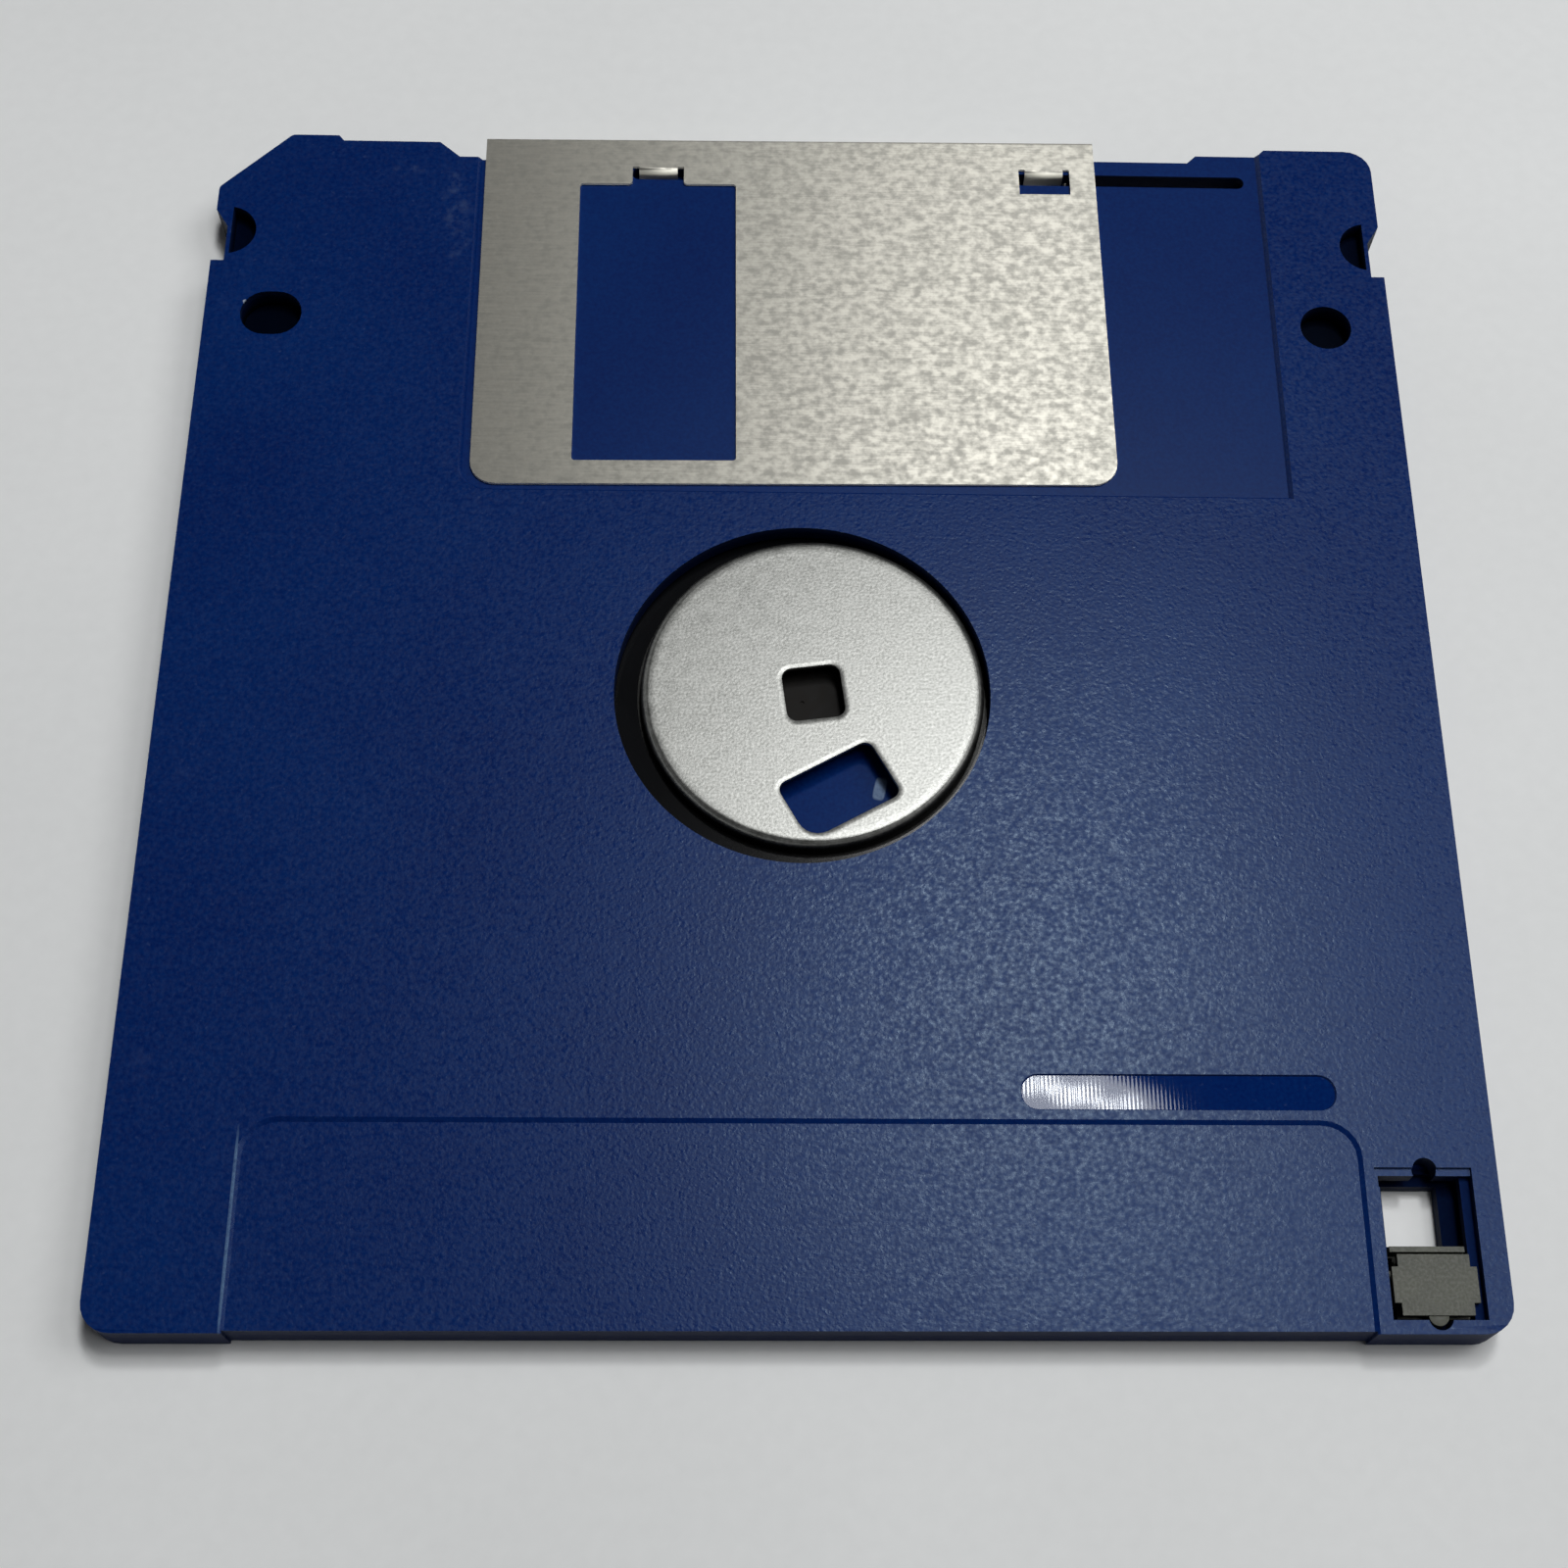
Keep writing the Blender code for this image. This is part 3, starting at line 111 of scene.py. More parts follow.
# From a look's dark colour to its pale one, as a pattern rises through the look's spread
def twoTone(tree, look, pattern):
    share = add(tree, "MapRange", (pattern, *look["spread"]))
    return layered(tree, linear(look["dark"]), [(share, look["pale"])])


# How near a value is to a middle: 1 at the first of two distances from it, and 0 at the second
def within(tree, value, middle, distances):
    beside = add(tree, "Math", (value, middle), operation="SUBTRACT")
    away = add(tree, "Math", (beside,), operation="ABSOLUTE")
    return add(tree, "MapRange", (away, *distances, 1.0, 0.0))


# Millimetres from an upright axis through a middle
def fromAxis(tree, place, middle):
    away = add(tree, "VectorMath", (place, (*middle, 0)), operation="SUBTRACT")
    level = add(tree, "VectorMath", (away, (1, 1, 0)), operation="MULTIPLY")
    return add(tree, "VectorMath", (level,), "Value", operation="LENGTH")


# A place's coordinates seen from a middle, along axes turned by an angle in degrees
def turnedAxes(tree, place, middle, turn):
    inputs = {"Vector": place, "Location": (*middle, 0), "Rotation": (0, 0, math.radians(turn))}
    turned = add(tree, "Mapping", inputs, vector_type="TEXTURE")
    return add(tree, "SeparateXYZ", (turned,)).node.outputs


# The photograph's camera: lengths in pixels of its square frame, place and clipping in metres
shot = {
    "side": 1600,
    "focal": 2325.8,
    "centre": (840.8, 869.7),
    "sensor": 36,  # in millimetres
    "elevation": math.radians(66.44),
    "roll": math.radians(4.383),
    "yaw": math.radians(-4.327),
    "place": Vector((-3.2513, -75.9905, 145.683)) * mm,
    "clip": (0.01, 20),
}


def placeCamera():
    yaw, elevation, roll = shot["yaw"], shot["elevation"], shot["roll"]
    back = Vector((
        math.sin(yaw) * math.cos(elevation),
        -math.cos(yaw) * math.cos(elevation),
        math.sin(elevation),
    ))
    right = Vector((math.cos(yaw), math.sin(yaw), 0))
    up = back.cross(right)
    across = right * math.cos(roll) + up * math.sin(roll)
    above = up * math.cos(roll) - right * math.sin(roll)
    turn = Matrix((across, above, back)).transposed().to_4x4()
    camera = bpy.data.objects.new("camera", bpy.data.cameras.new("camera"))
    bpy.context.scene.collection.objects.link(camera)
    camera.matrix_world = Matrix.Translation(shot["place"]) @ turn
    half = shot["side"] / 2
    camera.data.sensor_width = shot["sensor"]
    camera.data.lens = shot["sensor"] * shot["focal"] / shot["side"]
    camera.data.shift_x = (half - shot["centre"][0]) / shot["side"]
    camera.data.shift_y = (shot["centre"][1] - half) / shot["side"]
    camera.data.clip_start, camera.data.clip_end = shot["clip"]
    bpy.context.scene.camera = camera


placeCamera()


# Beyond the shutter's edge an oval lamp with three bulbs and a lamp further off, a panel overhead and a
# window to the right: shape, the radiance that a mirror would show, then centre and size in metres
lights = {
    "lamp": ("ELLIPSE", 16, (0.1, 0.115, 0.62), (0.13, 0.112)),
    "lampFar": ("RECTANGLE", 36, (0.096, 0.232, 0.62), (0.09, 0.09)),
    "panel": ("RECTANGLE", 5, (0.24, -0.03, 0.8), (0.35, 0.2)),
    "window": ("RECTANGLE", 3.2, (0.52, 0.16, 0.62), (0.4, 0.35)),
    "bulbLeft": ("ELLIPSE", 75, (0.0952, 0.165, 0.615), (0.0075, 0.0075)),
    "bulbMiddle": ("ELLIPSE", 75, (0.1085, 0.161, 0.615), (0.0095, 0.0075)),
    "bulbRight": ("ELLIPSE", 75, (0.1232, 0.1566, 0.615), (0.0085, 0.0045)),
}
filledShare = {"ELLIPSE": math.pi / 4, "RECTANGLE": 1}  # how much of its width times depth a shape fills


# An area light that faces the object
def placeLight(name, shape, radiance, centre, size):
    lamp = bpy.data.lights.new(name, "AREA")
    lamp.shape = shape
    lamp.size, lamp.size_y = size
    lamp.energy = radiance * math.pi * size[0] * size[1] * filledShare[shape]
    holder = bpy.data.objects.new(name, lamp)
    holder.location = centre
    holder.rotation_mode = "QUATERNION"
    holder.rotation_quaternion = (-Vector(centre)).to_track_quat("-Z", "Y")
    bpy.context.scene.collection.objects.link(holder)


for lightName, lightFacts in lights.items():
    placeLight(lightName, *lightFacts)


# The room: its dim light, the pale walls that only the eye and gloss see, and the height where they end
room = {"dim": "323233", "walls": "D4D5D5", "wallsEnd": (0.35, 0.55)}


# 1 for what the camera, gloss and glass see, and 0 for what lights the object
def seenRays(tree):
    path = add(tree, "LightPath").node.outputs
    direct = add(tree, "Math", (path["Is Camera Ray"], path["Is Transmission Ray"]), operation="MAXIMUM")
    return add(tree, "Math", (direct, path["Is Glossy Ray"]), operation="MAXIMUM")


def placeRoom():
    world = bpy.data.worlds.new("room")
    world.use_nodes = True
    tree = world.node_tree
    towards = add(tree, "TexCoord", output="Generated")
    height = add(tree, "SeparateXYZ", (towards,), "Z")
    low = add(tree, "MapRange", (height, *room["wallsEnd"], 1.0, 0.0))
    walls = add(tree, "Math", (seenRays(tree), low), operation="MULTIPLY")
    seen = layered(tree, linear(room["dim"]), [(walls, room["walls"])])
    feed(tree, tree.nodes["Background"], {"Color": seen})
    bpy.context.scene.world = world
    bpy.context.scene.view_settings.view_transform = "Standard"


placeRoom()


# The table's sizes: metres for its plate, millimetres for its pattern and for where it fades
table = {
    "halfWidth": 2.5,
    "below": 0.03 * mm,
    "dark": "F0F2F2",
    "pale": "FAFCFC",
    "spread": noiseRange,
    "cloudSize": 60,
    "fibreSize": 1.2,
    "fibreShare": 0.25,
    "roughness": 0.8,
    "gloss": 0.2,
    "fade": (170, 800),
}


# Calendered matt card, pressed between rollers: the eye sees it pale, dull and faintly uneven
def mattCard():
    made, tree, shader, place = newMaterial("calenderedMattCard")
    clouds = add(tree, "TexNoise", {"Vector": place, "Scale": 1 / table["cloudSize"], "Detail": 3})
    fibres = add(tree, "TexNoise", {"Vector": place, "Scale": 1 / table["fibreSize"], "Detail": 3})
    tone = add(tree, "Mix", {0: table["fibreShare"], 2: clouds, 3: fibres})
    feed(tree, shader, {
        "Base Color": twoTone(tree, table, tone),
        "Roughness": table["roughness"],
        "Specular IOR Level": table["gloss"],
    })
    # Far off, where the lamps no longer reach, the table fades into the pale room
    reach = add(tree, "VectorMath", (place,), "Value", operation="LENGTH")
    far = add(tree, "MapRange", (reach, *table["fade"]), interpolation_type="SMOOTHSTEP")
    share = add(tree, "Math", (far, seenRays(tree)), operation="MULTIPLY")
    glow = add(tree, "Emission", {"Color": linear(room["walls"])})
    faded = add(tree, "MixShader", (share, shader.outputs[0], glow))
    feed(tree, tree.nodes["Material Output"], {"Surface": faded})
    return made


def placeTable():
    mesh = bpy.data.meshes.new("tableTop")
    shape = bmesh.new()
    bmesh.ops.create_grid(shape, x_segments=1, y_segments=1, size=table["halfWidth"])
    shape.to_mesh(mesh)
    shape.free()
    floor = bpy.data.objects.new("tableTop", mesh)
    floor.location.z = -table["below"]
    bpy.context.scene.collection.objects.link(floor)
    mesh.materials.append(mattCard())


placeTable()
print("camera, lights and table placed")


# How the CAD's loose triangles are merged: a distance in metres, an angle in degrees, and what is dropped
merging = {"distance": 2e-6, "flatAngle": 0.4, "dropped": ("custom_normal", "sharp_face")}
upward = 0.99  # the least upward part of the normal of a face that looks up


# Marks, for rounding, the outlines of the faces that look up, above a height in millimetres
def markTopEdges(mesh, height):
    weights = mesh.attributes.new("bevel_weight_edge", "FLOAT", "EDGE")
    level = {frozenset(edge.vertices): 0 for edge in mesh.edges}
    for face in mesh.polygons:
        for pair in face.edge_keys:
            level[frozenset(pair)] += 1 if face.normal.z > upward else 0
    for edge in mesh.edges:
        high = min(mesh.vertices[i].co.z for i in edge.vertices) > height * mm
        weights.data[edge.index].value = 1.0 if high and level[frozenset(edge.vertices)] == 1 else 0.0


# A welded, smooth copy of a CAD node, with edges rounded by some millimetres, which stands for it
def dressed(node, material, sharpAngle=32, rounding=0, segments=2, onlyAbove=None):
    source = frame["nodes"][node]
    mesh = bpy.data.meshes.new(node + "Dressed")
    shape = bmesh.new()
    shape.from_mesh(source.data)
    bmesh.ops.remove_doubles(shape, verts=shape.verts, dist=merging["distance"])
    flatAngle = math.radians(merging["flatAngle"])
    bmesh.ops.dissolve_limit(
        shape, angle_limit=flatAngle, verts=shape.verts, edges=shape.edges, delimit=set()
    )
    shape.to_mesh(mesh)
    shape.free()
    for name in merging["dropped"]:
        if name in mesh.attributes:
            mesh.attributes.remove(mesh.attributes[name])
    made = bpy.data.objects.new(node + "Dressed", mesh)
    bpy.context.scene.collection.objects.link(made)
    mesh.shade_smooth()
    if rounding:
        bevel = made.modifiers.new("edges", "BEVEL")
        bevel.limit_method = "ANGLE"
        if onlyAbove is not None:
            bevel.limit_method = "WEIGHT"
            markTopEdges(mesh, onlyAbove)
        bevel.angle_limit = math.radians(sharpAngle)
        bevel.width = rounding * mm
        bevel.segments = segments
        bevel.miter_outer = "MITER_SHARP"
    bpy.context.view_layer.update()
    flat = bpy.data.meshes.new_from_object(made.evaluated_get(bpy.context.evaluated_depsgraph_get()))
    made.modifiers.clear()
    made.data = flat
    flat.shade_smooth()
    flat.set_sharp_from_angle(angle=math.radians(sharpAngle))
    flat.materials.clear()
    flat.materials.append(material)
    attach(made, source["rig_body"])
    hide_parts(node)
    if rounding:
        # Flat faces keep flat normals beside their rounded edges
        level = made.modifiers.new("faces", "WEIGHTED_NORMAL")
        level.keep_sharp = True
        level.weight = 100
    return made


# The middle of a node's box in the plane of the table, in millimetres
def middleOf(node):
    low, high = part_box(node)
    return tuple((low[i] + high[i]) / 2 / mm for i in (0, 1))


# The case: lengths in millimetres
caseLook = {
    "dark": "011B58",
    "pale": "042A68",
    "spread": noiseRange,
    "dust": "4A5A84",
    # the colour of the painted shade in the holes, in the tab's well and on upright faces
    "hollow": "010308",
    "outer": (1.42, 1.36),  # from the middle, its outer faces lie past this, and its inside within the next
    "inside": (1.1, 1.2),
    "rounding": 0.07,
    "grainSize": 0.26,
    "grainDepth": 0.017,
    "recessGrain": 0.12,  # share of that depth off the outer faces
    "cloudSize": 16,
    "cloudShare": 0.4,
    "dustSize": 0.36,
    "dustRange": (0.66, 0.76),
    "dustShare": 0.2,
    "scuffSize": 5,
    "scuffRange": (0.66, 0.8),
    "scuffShare": 0.12,
    "satinSize": 0.32,
    "satin": (0.22, 0.42),
    "recessRoughness": 0.32,
    "innerRoughness": 0.28,
    "sideRoughness": 0.75,
    "sideTilt": (0.15, 0.5),  # how much a side wall's normal leans up or down
    # how much painted shade the upright faces get
    "sideShade": 0.75,
    "ior": 1.49,
    "gloss": 0.21,
    "sheen": "D7F0FF",
    "innerSheen": "59656F",
}

# The stadium, polished in the mould: where it is in the case, and the lines and waves that the cutter left
stadium = {
    "level": caseTop - 0.15,
    "levelWithin": (0.02, 0.035),
    "line": -31.0,
    "lineWithin": (1.3, 1.35),
    "roughness": 0.03,
    "sheen": "F7FCFF",
    "cutterPitch": 0.27,
    "cutterShare": 0.08,
    "waveSize": 3.4,
    "waveDepth": 0.0025,
}

# Painted shade: little light reaches the bottoms of the locating holes, of the thumb pockets and of the
# tab's well, so they are painted near black
shadedHoles = {
    "middles": ((40.0, 29.9), (-40.0, 29.9), (43.9, 37.55), (-43.9, 37.55)),
    "radius": (2.5, 2.8),
    "levels": (1.9, 2.9),
    "shade": 0.97,
}
shadedWell = {
    "middle": (40.25, -41.1),
    "halfX": (3.4, 3.6),
    "halfY": (5.3, 5.6),
    "levels": (2.4, 2.75),
    "shade": 0.8,
}

# Wear and moulding marks and one painted highlight: where the middle is, half the length and width, the
# lowest level, degrees of turn
caseMarks = {
    # A painted highlight: the pale line where the label recess's edge catches the lamps
    "labelEdgeHighlight": {
        "middle": (-36.3, -40.3), "half": (0.1, 6.4), "low": 3.0, "turn": 0, "colour": "5E7CA0",
        "share": 0.75, "edge": "sharp",
    },
    "ejectorPin": {
        "middle": (5.46, -8.25), "half": (0.42, 0.85), "low": 0.9, "turn": -12, "colour": "8FA6C4",
        "share": 0.7, "edge": "sharp",
    },
    "chip": {
        "middle": (-42.02, 30.85), "half": (0.14, 0.22), "low": 3.2, "turn": 20, "colour": "B9C6D4",
        "share": 0.8, "edge": "sharp",
    },
    "longScuff": {
        "middle": (-26.6, 39.5), "half": (1.1, 5.0), "low": 3.2, "turn": 4, "colour": "56688A",
        "share": 0.28, "edge": "soft",
    },
    "shortScuff": {
        "middle": (-30.5, 43.6), "half": (1.7, 0.5), "low": 3.2, "turn": 8, "colour": "56688A",
        "share": 0.24, "edge": "soft",
    },
}
markEdges = {
    "sharp": {"power": 4, "fade": (0.5, 1.4), "speckle": 0.5, "gaps": (0.3, 0.6, 0.45)},
    "soft": {"power": 2, "fade": (0.1, 1.4), "speckle": 1.1, "gaps": (0.48, 0.68, 0.0)},
}
markHeight = 0.5  # a mark reaches this far up from its lowest level
markFade = 0.05


# How much of a mark's colour shows at a place
def markShare(tree, place, mark):
    edge = markEdges[mark["edge"]]
    x, y, z = turnedAxes(tree, place, mark["middle"], mark["turn"])
    parts = []
    for axis, half in zip((x, y), mark["half"]):
        away = add(tree, "Math", (axis,), operation="ABSOLUTE")
        part = add(tree, "Math", (away, half), operation="DIVIDE")
        parts.append(add(tree, "Math", (part, edge["power"]), operation="POWER"))
    outline = add(tree, "Math", parts, operation="ADD")
    inputs = {"Vector": place, "Scale": 1 / edge["speckle"], "Detail": 4, "Roughness": 0.7}
    speckled = add(tree, "TexNoise", inputs)
    share = add(tree, "MapRange", (outline, *edge["fade"], mark["share"], 0.0))
    high = mark["low"] + markHeight
    for limit in (
        add(tree, "MapRange", (speckled, *edge["gaps"], 1.0)),
        add(tree, "MapRange", (z, mark["low"], mark["low"] + markFade)),
        add(tree, "MapRange", (z, high, high + markFade, 1.0, 0.0)),
    ):
        share = add(tree, "Math", (share, limit), operation="MULTIPLY")
    return share


# How much painted shade the bottom of the tab's well gets
def wellShade(tree, x, y, z):
    insideX = within(tree, x, shadedWell["middle"][0], shadedWell["halfX"])
    insideY = within(tree, y, shadedWell["middle"][1], shadedWell["halfY"])
    inside = add(tree, "Math", (insideX, insideY), operation="MULTIPLY")
    deep = add(tree, "MapRange", (z, *shadedWell["levels"], shadedWell["shade"], 0.0))
    return add(tree, "Math", (inside, deep), operation="MULTIPLY")


# ABS from a spark-eroded mould: the faces get a pebbled grain that breaks the lamps' sheen into specks, the
# recesses a shallower and more even one, and the stadium, polished in the mould, mirrors the lamps
def mouldedAbs(name):
    made, tree, shader, place = newMaterial(name)
    x, y, z = add(tree, "SeparateXYZ", (place,)).node.outputs
    outer = within(tree, z, caseMiddle, caseLook["outer"])
    inside = within(tree, z, caseMiddle, caseLook["inside"])
    onLevel = within(tree, z, stadium["level"], stadium["levelWithin"])
    onLine = within(tree, y, stadium["line"], stadium["lineWithin"])
    polished = add(tree, "Math", (onLevel, onLine), operation="MULTIPLY")
    # Upright faces get painted shade, the more upright the darker, joined below by the tab's well's painted
    # shade
    facing = add(tree, "NewGeometry", output="True Normal")
    tilt = add(tree, "Math", (add(tree, "SeparateXYZ", (facing,), "Z"),), operation="ABSOLUTE")
    side = add(tree, "MapRange", (tilt, *caseLook["sideTilt"], caseLook["sideShade"], 0.0))
    shaded = add(tree, "Math", (side, wellShade(tree, x, y, z)), operation="MAXIMUM")

    # Colour: two blues in the grain and in wide clouds, then dust, painted shade in the holes, in the tab's
    # well and on upright faces, and marks, one of them a painted highlight
    grainInputs = {"Vector": place, "Scale": 1 / caseLook["grainSize"], "Detail": 2, "Roughness": 0.45}
    specks = add(tree, "TexNoise", grainInputs)
    clouds = add(tree, "TexNoise", {"Vector": place, "Scale": 1 / caseLook["cloudSize"], "Detail": 3})
    tone = add(tree, "Mix", {0: caseLook["cloudShare"], 2: specks, 3: clouds})
    colour = twoTone(tree, caseLook, tone)
    motes = add(tree, "TexNoise", {"Vector": place, "Scale": 1 / caseLook["dustSize"], "Detail": 2})
    dusty = add(tree, "MapRange", (motes, *caseLook["dustRange"], 0.0, caseLook["dustShare"]))
    scuffInputs = {"Vector": place, "Scale": 1 / caseLook["scuffSize"], "Detail": 4, "Roughness": 0.7}
    rubbed = add(tree, "TexNoise", scuffInputs)
    scuffed = add(tree, "MapRange", (rubbed, *caseLook["scuffRange"], 0.0, caseLook["scuffShare"]))
    worn = add(tree, "Math", (dusty, scuffed), operation="MAXIMUM")
    worn = add(tree, "Math", (worn, outer), operation="MULTIPLY")
    layers = [(worn, caseLook["dust"])]
    # Painted shade at the bottoms of the locating holes and thumb pockets
    deep = add(tree, "MapRange", (z, *shadedHoles["levels"], shadedHoles["shade"], 0.0))
    for middle in shadedHoles["middles"]:
        inHole = add(tree, "MapRange", (fromAxis(tree, place, middle), *shadedHoles["radius"], 1.0, 0.0))
        dark = add(tree, "Math", (inHole, deep), operation="MULTIPLY")
        layers.append((dark, caseLook["hollow"]))
    # painted shade on upright faces and in the tab's well
    layers.append((shaded, caseLook["hollow"]))
    for mark in caseMarks.values():
        layers.append((markShare(tree, place, mark), mark["colour"]))

    # Gloss: satin and uneven outside, even in the recesses, a mirror in the stadium, next to none inside
    rough = add(tree, "Mix", {0: inside, 2: caseLook["recessRoughness"], 3: caseLook["innerRoughness"]})
    uneven = add(tree, "TexNoise", {"Vector": place, "Scale": 1 / caseLook["satinSize"], "Detail": 1.5})
    satin = add(tree, "MapRange", (uneven, *noiseRange, *caseLook["satin"]))
    rough = add(tree, "Mix", {0: outer, 2: rough, 3: satin})
    rough = add(tree, "Mix", {0: polished, 2: rough, 3: stadium["roughness"]})
    rough = add(tree, "Mix", {0: shaded, 2: rough, 3: caseLook["sideRoughness"]})
    sheens = [(polished, stadium["sheen"]), (inside, caseLook["innerSheen"])]

    # Relief: the grain, and the cutter's lines and slow waves in the stadium
    share = add(tree, "Mix", {0: outer, 2: caseLook["recessGrain"], 3: 1.0})
    height = add(tree, "Math", (specks, share), operation="MULTIPLY")
    unpolished = add(tree, "Math", (1.0, polished), operation="SUBTRACT")
    height = add(tree, "Math", (height, unpolished), operation="MULTIPLY")
    grained = add(tree, "Bump", {"Height": height, "Distance": caseLook["grainDepth"] * mm})
    turns = add(tree, "Math", (x, 2 * math.pi / stadium["cutterPitch"]), operation="MULTIPLY")
    lines = add(tree, "Math", (turns,), operation="SINE")
    slow = add(tree, "TexNoise", {"Vector": place, "Scale": 1 / stadium["waveSize"], "Detail": 1})
    waves = add(tree, "Math", (lines, stadium["cutterShare"], slow), operation="MULTIPLY_ADD")
    height = add(tree, "Math", (waves, polished), operation="MULTIPLY")
    waveInputs = {"Height": height, "Distance": stadium["waveDepth"] * mm, "Normal": grained}
    waved = add(tree, "Bump", waveInputs)
    feed(tree, shader, {
        "Base Color": layered(tree, colour, layers),
        "Roughness": rough,
        "Specular Tint": layered(tree, linear(caseLook["sheen"]), sheens),
        "Normal": waved,
        "IOR": caseLook["ior"],
        "Specular IOR Level": caseLook["gloss"],
    })
    return made


backShell = dressed("back_shell", mouldedAbs("sparkErodedMouldedAbs"), rounding=caseLook["rounding"])
labelSideAbs = mouldedAbs("sparkErodedMouldedAbsLabelSide")
frontShell = dressed("front_shell", labelSideAbs, rounding=caseLook["rounding"])
print("shells dressed:", len(backShell.data.polygons), len(frontShell.data.polygons))


# The shutter: lengths in millimetres, and a stretch below 1 draws its pattern out along that axis
shutterLook = {
    "dark": "95948D",
    "pale": "B1AFA6",
    "spread": (0.38, 0.62),
    "edgeHighlight": "FAF8EC",
    "cutLine": (46.2, 46.5),  # the painted highlight on the lugs and cut edges lies short of this line and between these levels
    "cutTop": (3.13, 3.17),
    "cutLow": (1.4, 1.6),
    "rounding": 0.04,
    "flakeSize": 0.6,
    "flakeStretch": (0.9, 1.05, 1.0),
    "lineSize": 0.12,  # coarser than the real lines, so that they show
    "lineStretch": (0.06, 1.0, 1.0),
    "lineShare": 0.3,
    "flakeRange": (0.35, 0.65),
    "roughness": (0.53, 0.42),
    "cutRoughness": 0.6,
    "relief": 0.006,
    "streak": 0.7,
    "streakTurn": 0.25,
    "map": "rolled",
    "mapSide": 0.1,  # metres of sheet for the whole map
}


# Cold-rolled stainless sheet: rolling leaves cloudy flakes and fine lines along X, so it shines in one wide
# streak, and the bent-in lugs and cut edges get a painted highlight
def rolledSheet():
    made, tree, shader, place = newMaterial("coldRolledStainlessSheet")
    flakePlace = add(tree, "VectorMath", (place, shutterLook["flakeStretch"]), operation="MULTIPLY")
    flakeScale = 1 / shutterLook["flakeSize"]
    flakeInputs = {"Vector": flakePlace, "Scale": flakeScale, "Detail": 3, "Roughness": 0.55}
    flakes = add(tree, "TexNoise", flakeInputs)
    linePlace = add(tree, "VectorMath", (place, shutterLook["lineStretch"]), operation="MULTIPLY")
    lineScale = 1 / shutterLook["lineSize"]
    lineInputs = {"Vector": linePlace, "Scale": lineScale, "Detail": 2, "Roughness": 0.6}
    lines = add(tree, "TexNoise", lineInputs)
    tone = add(tree, "Mix", {0: shutterLook["lineShare"], 2: flakes, 3: lines})
    colour = twoTone(tree, shutterLook, tone)
    y, z = add(tree, "SeparateXYZ", (place,)).node.outputs[1:]
    # Painted highlight: the bent-in lugs and cut edges, below the top face, are painted near white
    edgeHighlight = add(tree, "MapRange", (z, *shutterLook["cutTop"], 1.0, 0.0))
    for limit in (
        add(tree, "MapRange", (z, *shutterLook["cutLow"])),
        add(tree, "MapRange", (y, *shutterLook["cutLine"], 1.0, 0.0)),
    ):
        edgeHighlight = add(tree, "Math", (edgeHighlight, limit), operation="MULTIPLY")
    rough = add(tree, "MapRange", (flakes, *shutterLook["flakeRange"], *shutterLook["roughness"]))
    feed(tree, shader, {
        "Base Color": layered(tree, colour, [(edgeHighlight, shutterLook["edgeHighlight"])]),
        "Roughness": add(tree, "Mix", {0: edgeHighlight, 2: rough, 3: shutterLook["cutRoughness"]}),
        "Normal": add(tree, "Bump", {"Height": tone, "Distance": shutterLook["relief"] * mm}),
        "Tangent": add(tree, "Tangent", direction_type="UV_MAP", uv_map=shutterLook["map"]),
        "Anisotropic": shutterLook["streak"],
        "Anisotropic Rotation": shutterLook["streakTurn"],
        "Metallic": 1.0,
    })
    return made


# A flat map of the sheet, seen from above, whose U runs along X
def layFlat(mesh):
    layer = mesh.uv_layers.new(name=shutterLook["map"])
    for loop in mesh.loops:
        corner = mesh.vertices[loop.vertex_index].co
        layer.data[loop.index].uv = [corner[i] / shutterLook["mapSide"] + 0.5 for i in (0, 1)]


layFlat(dressed("shutter", rolledSheet(), rounding=shutterLook["rounding"]).data)


# The hub: lengths in millimetres
hubLook = {
    "dark": "7B7C79",
    "pale": "9E9F9C",
    "spread": (0.35, 0.65),
    "shade": "0B0B0C",
    "shadeLevels": (2.35, 2.62),  # below the face, the wall is in the case's shadow
    "shadeShare": 0.94,
    "roughness": (0.36, 0.42),
    "cloudSize": 0.9,
    "pitSize": 0.2,  # coarser than the real pits, so that they show
    "pitShare": 0.65,
    "pitDepth": 0.01,
    "rounding": 0.24,
    "roundAbove": 2.9,
    "holeRoll": 0.38,  # how wide the edges of the holes are rolled over, and how deep
    "holeDrop": 0.05,
    "rimRoll": (11.1, 11.8),  # the radii between which the rim is rolled over, and how deep
    "rimDrop": 0.04,
}
hubHoles = {
    "spindle": {
        "middle": (0.77, -1.68), "half": (2.075, 2.075), "turn": 7.6, "corner": 0.75, "wideCorner": 0.75,
    },
    "driveSlot": {
        "middle": (2.53, -9.2), "half": (3.7, 2.35), "turn": 29.3, "corner": 0.7, "wideCorner": 1.5,
    },
}


# Level at first, then ever steeper: 1 where the share is 0, and 0 where it is 1
def rolledOver(tree, share):
    lost = add(tree, "Math", (share, 2.0), operation="POWER")
    return add(tree, "Math", (1.0, lost), operation="SUBTRACT")


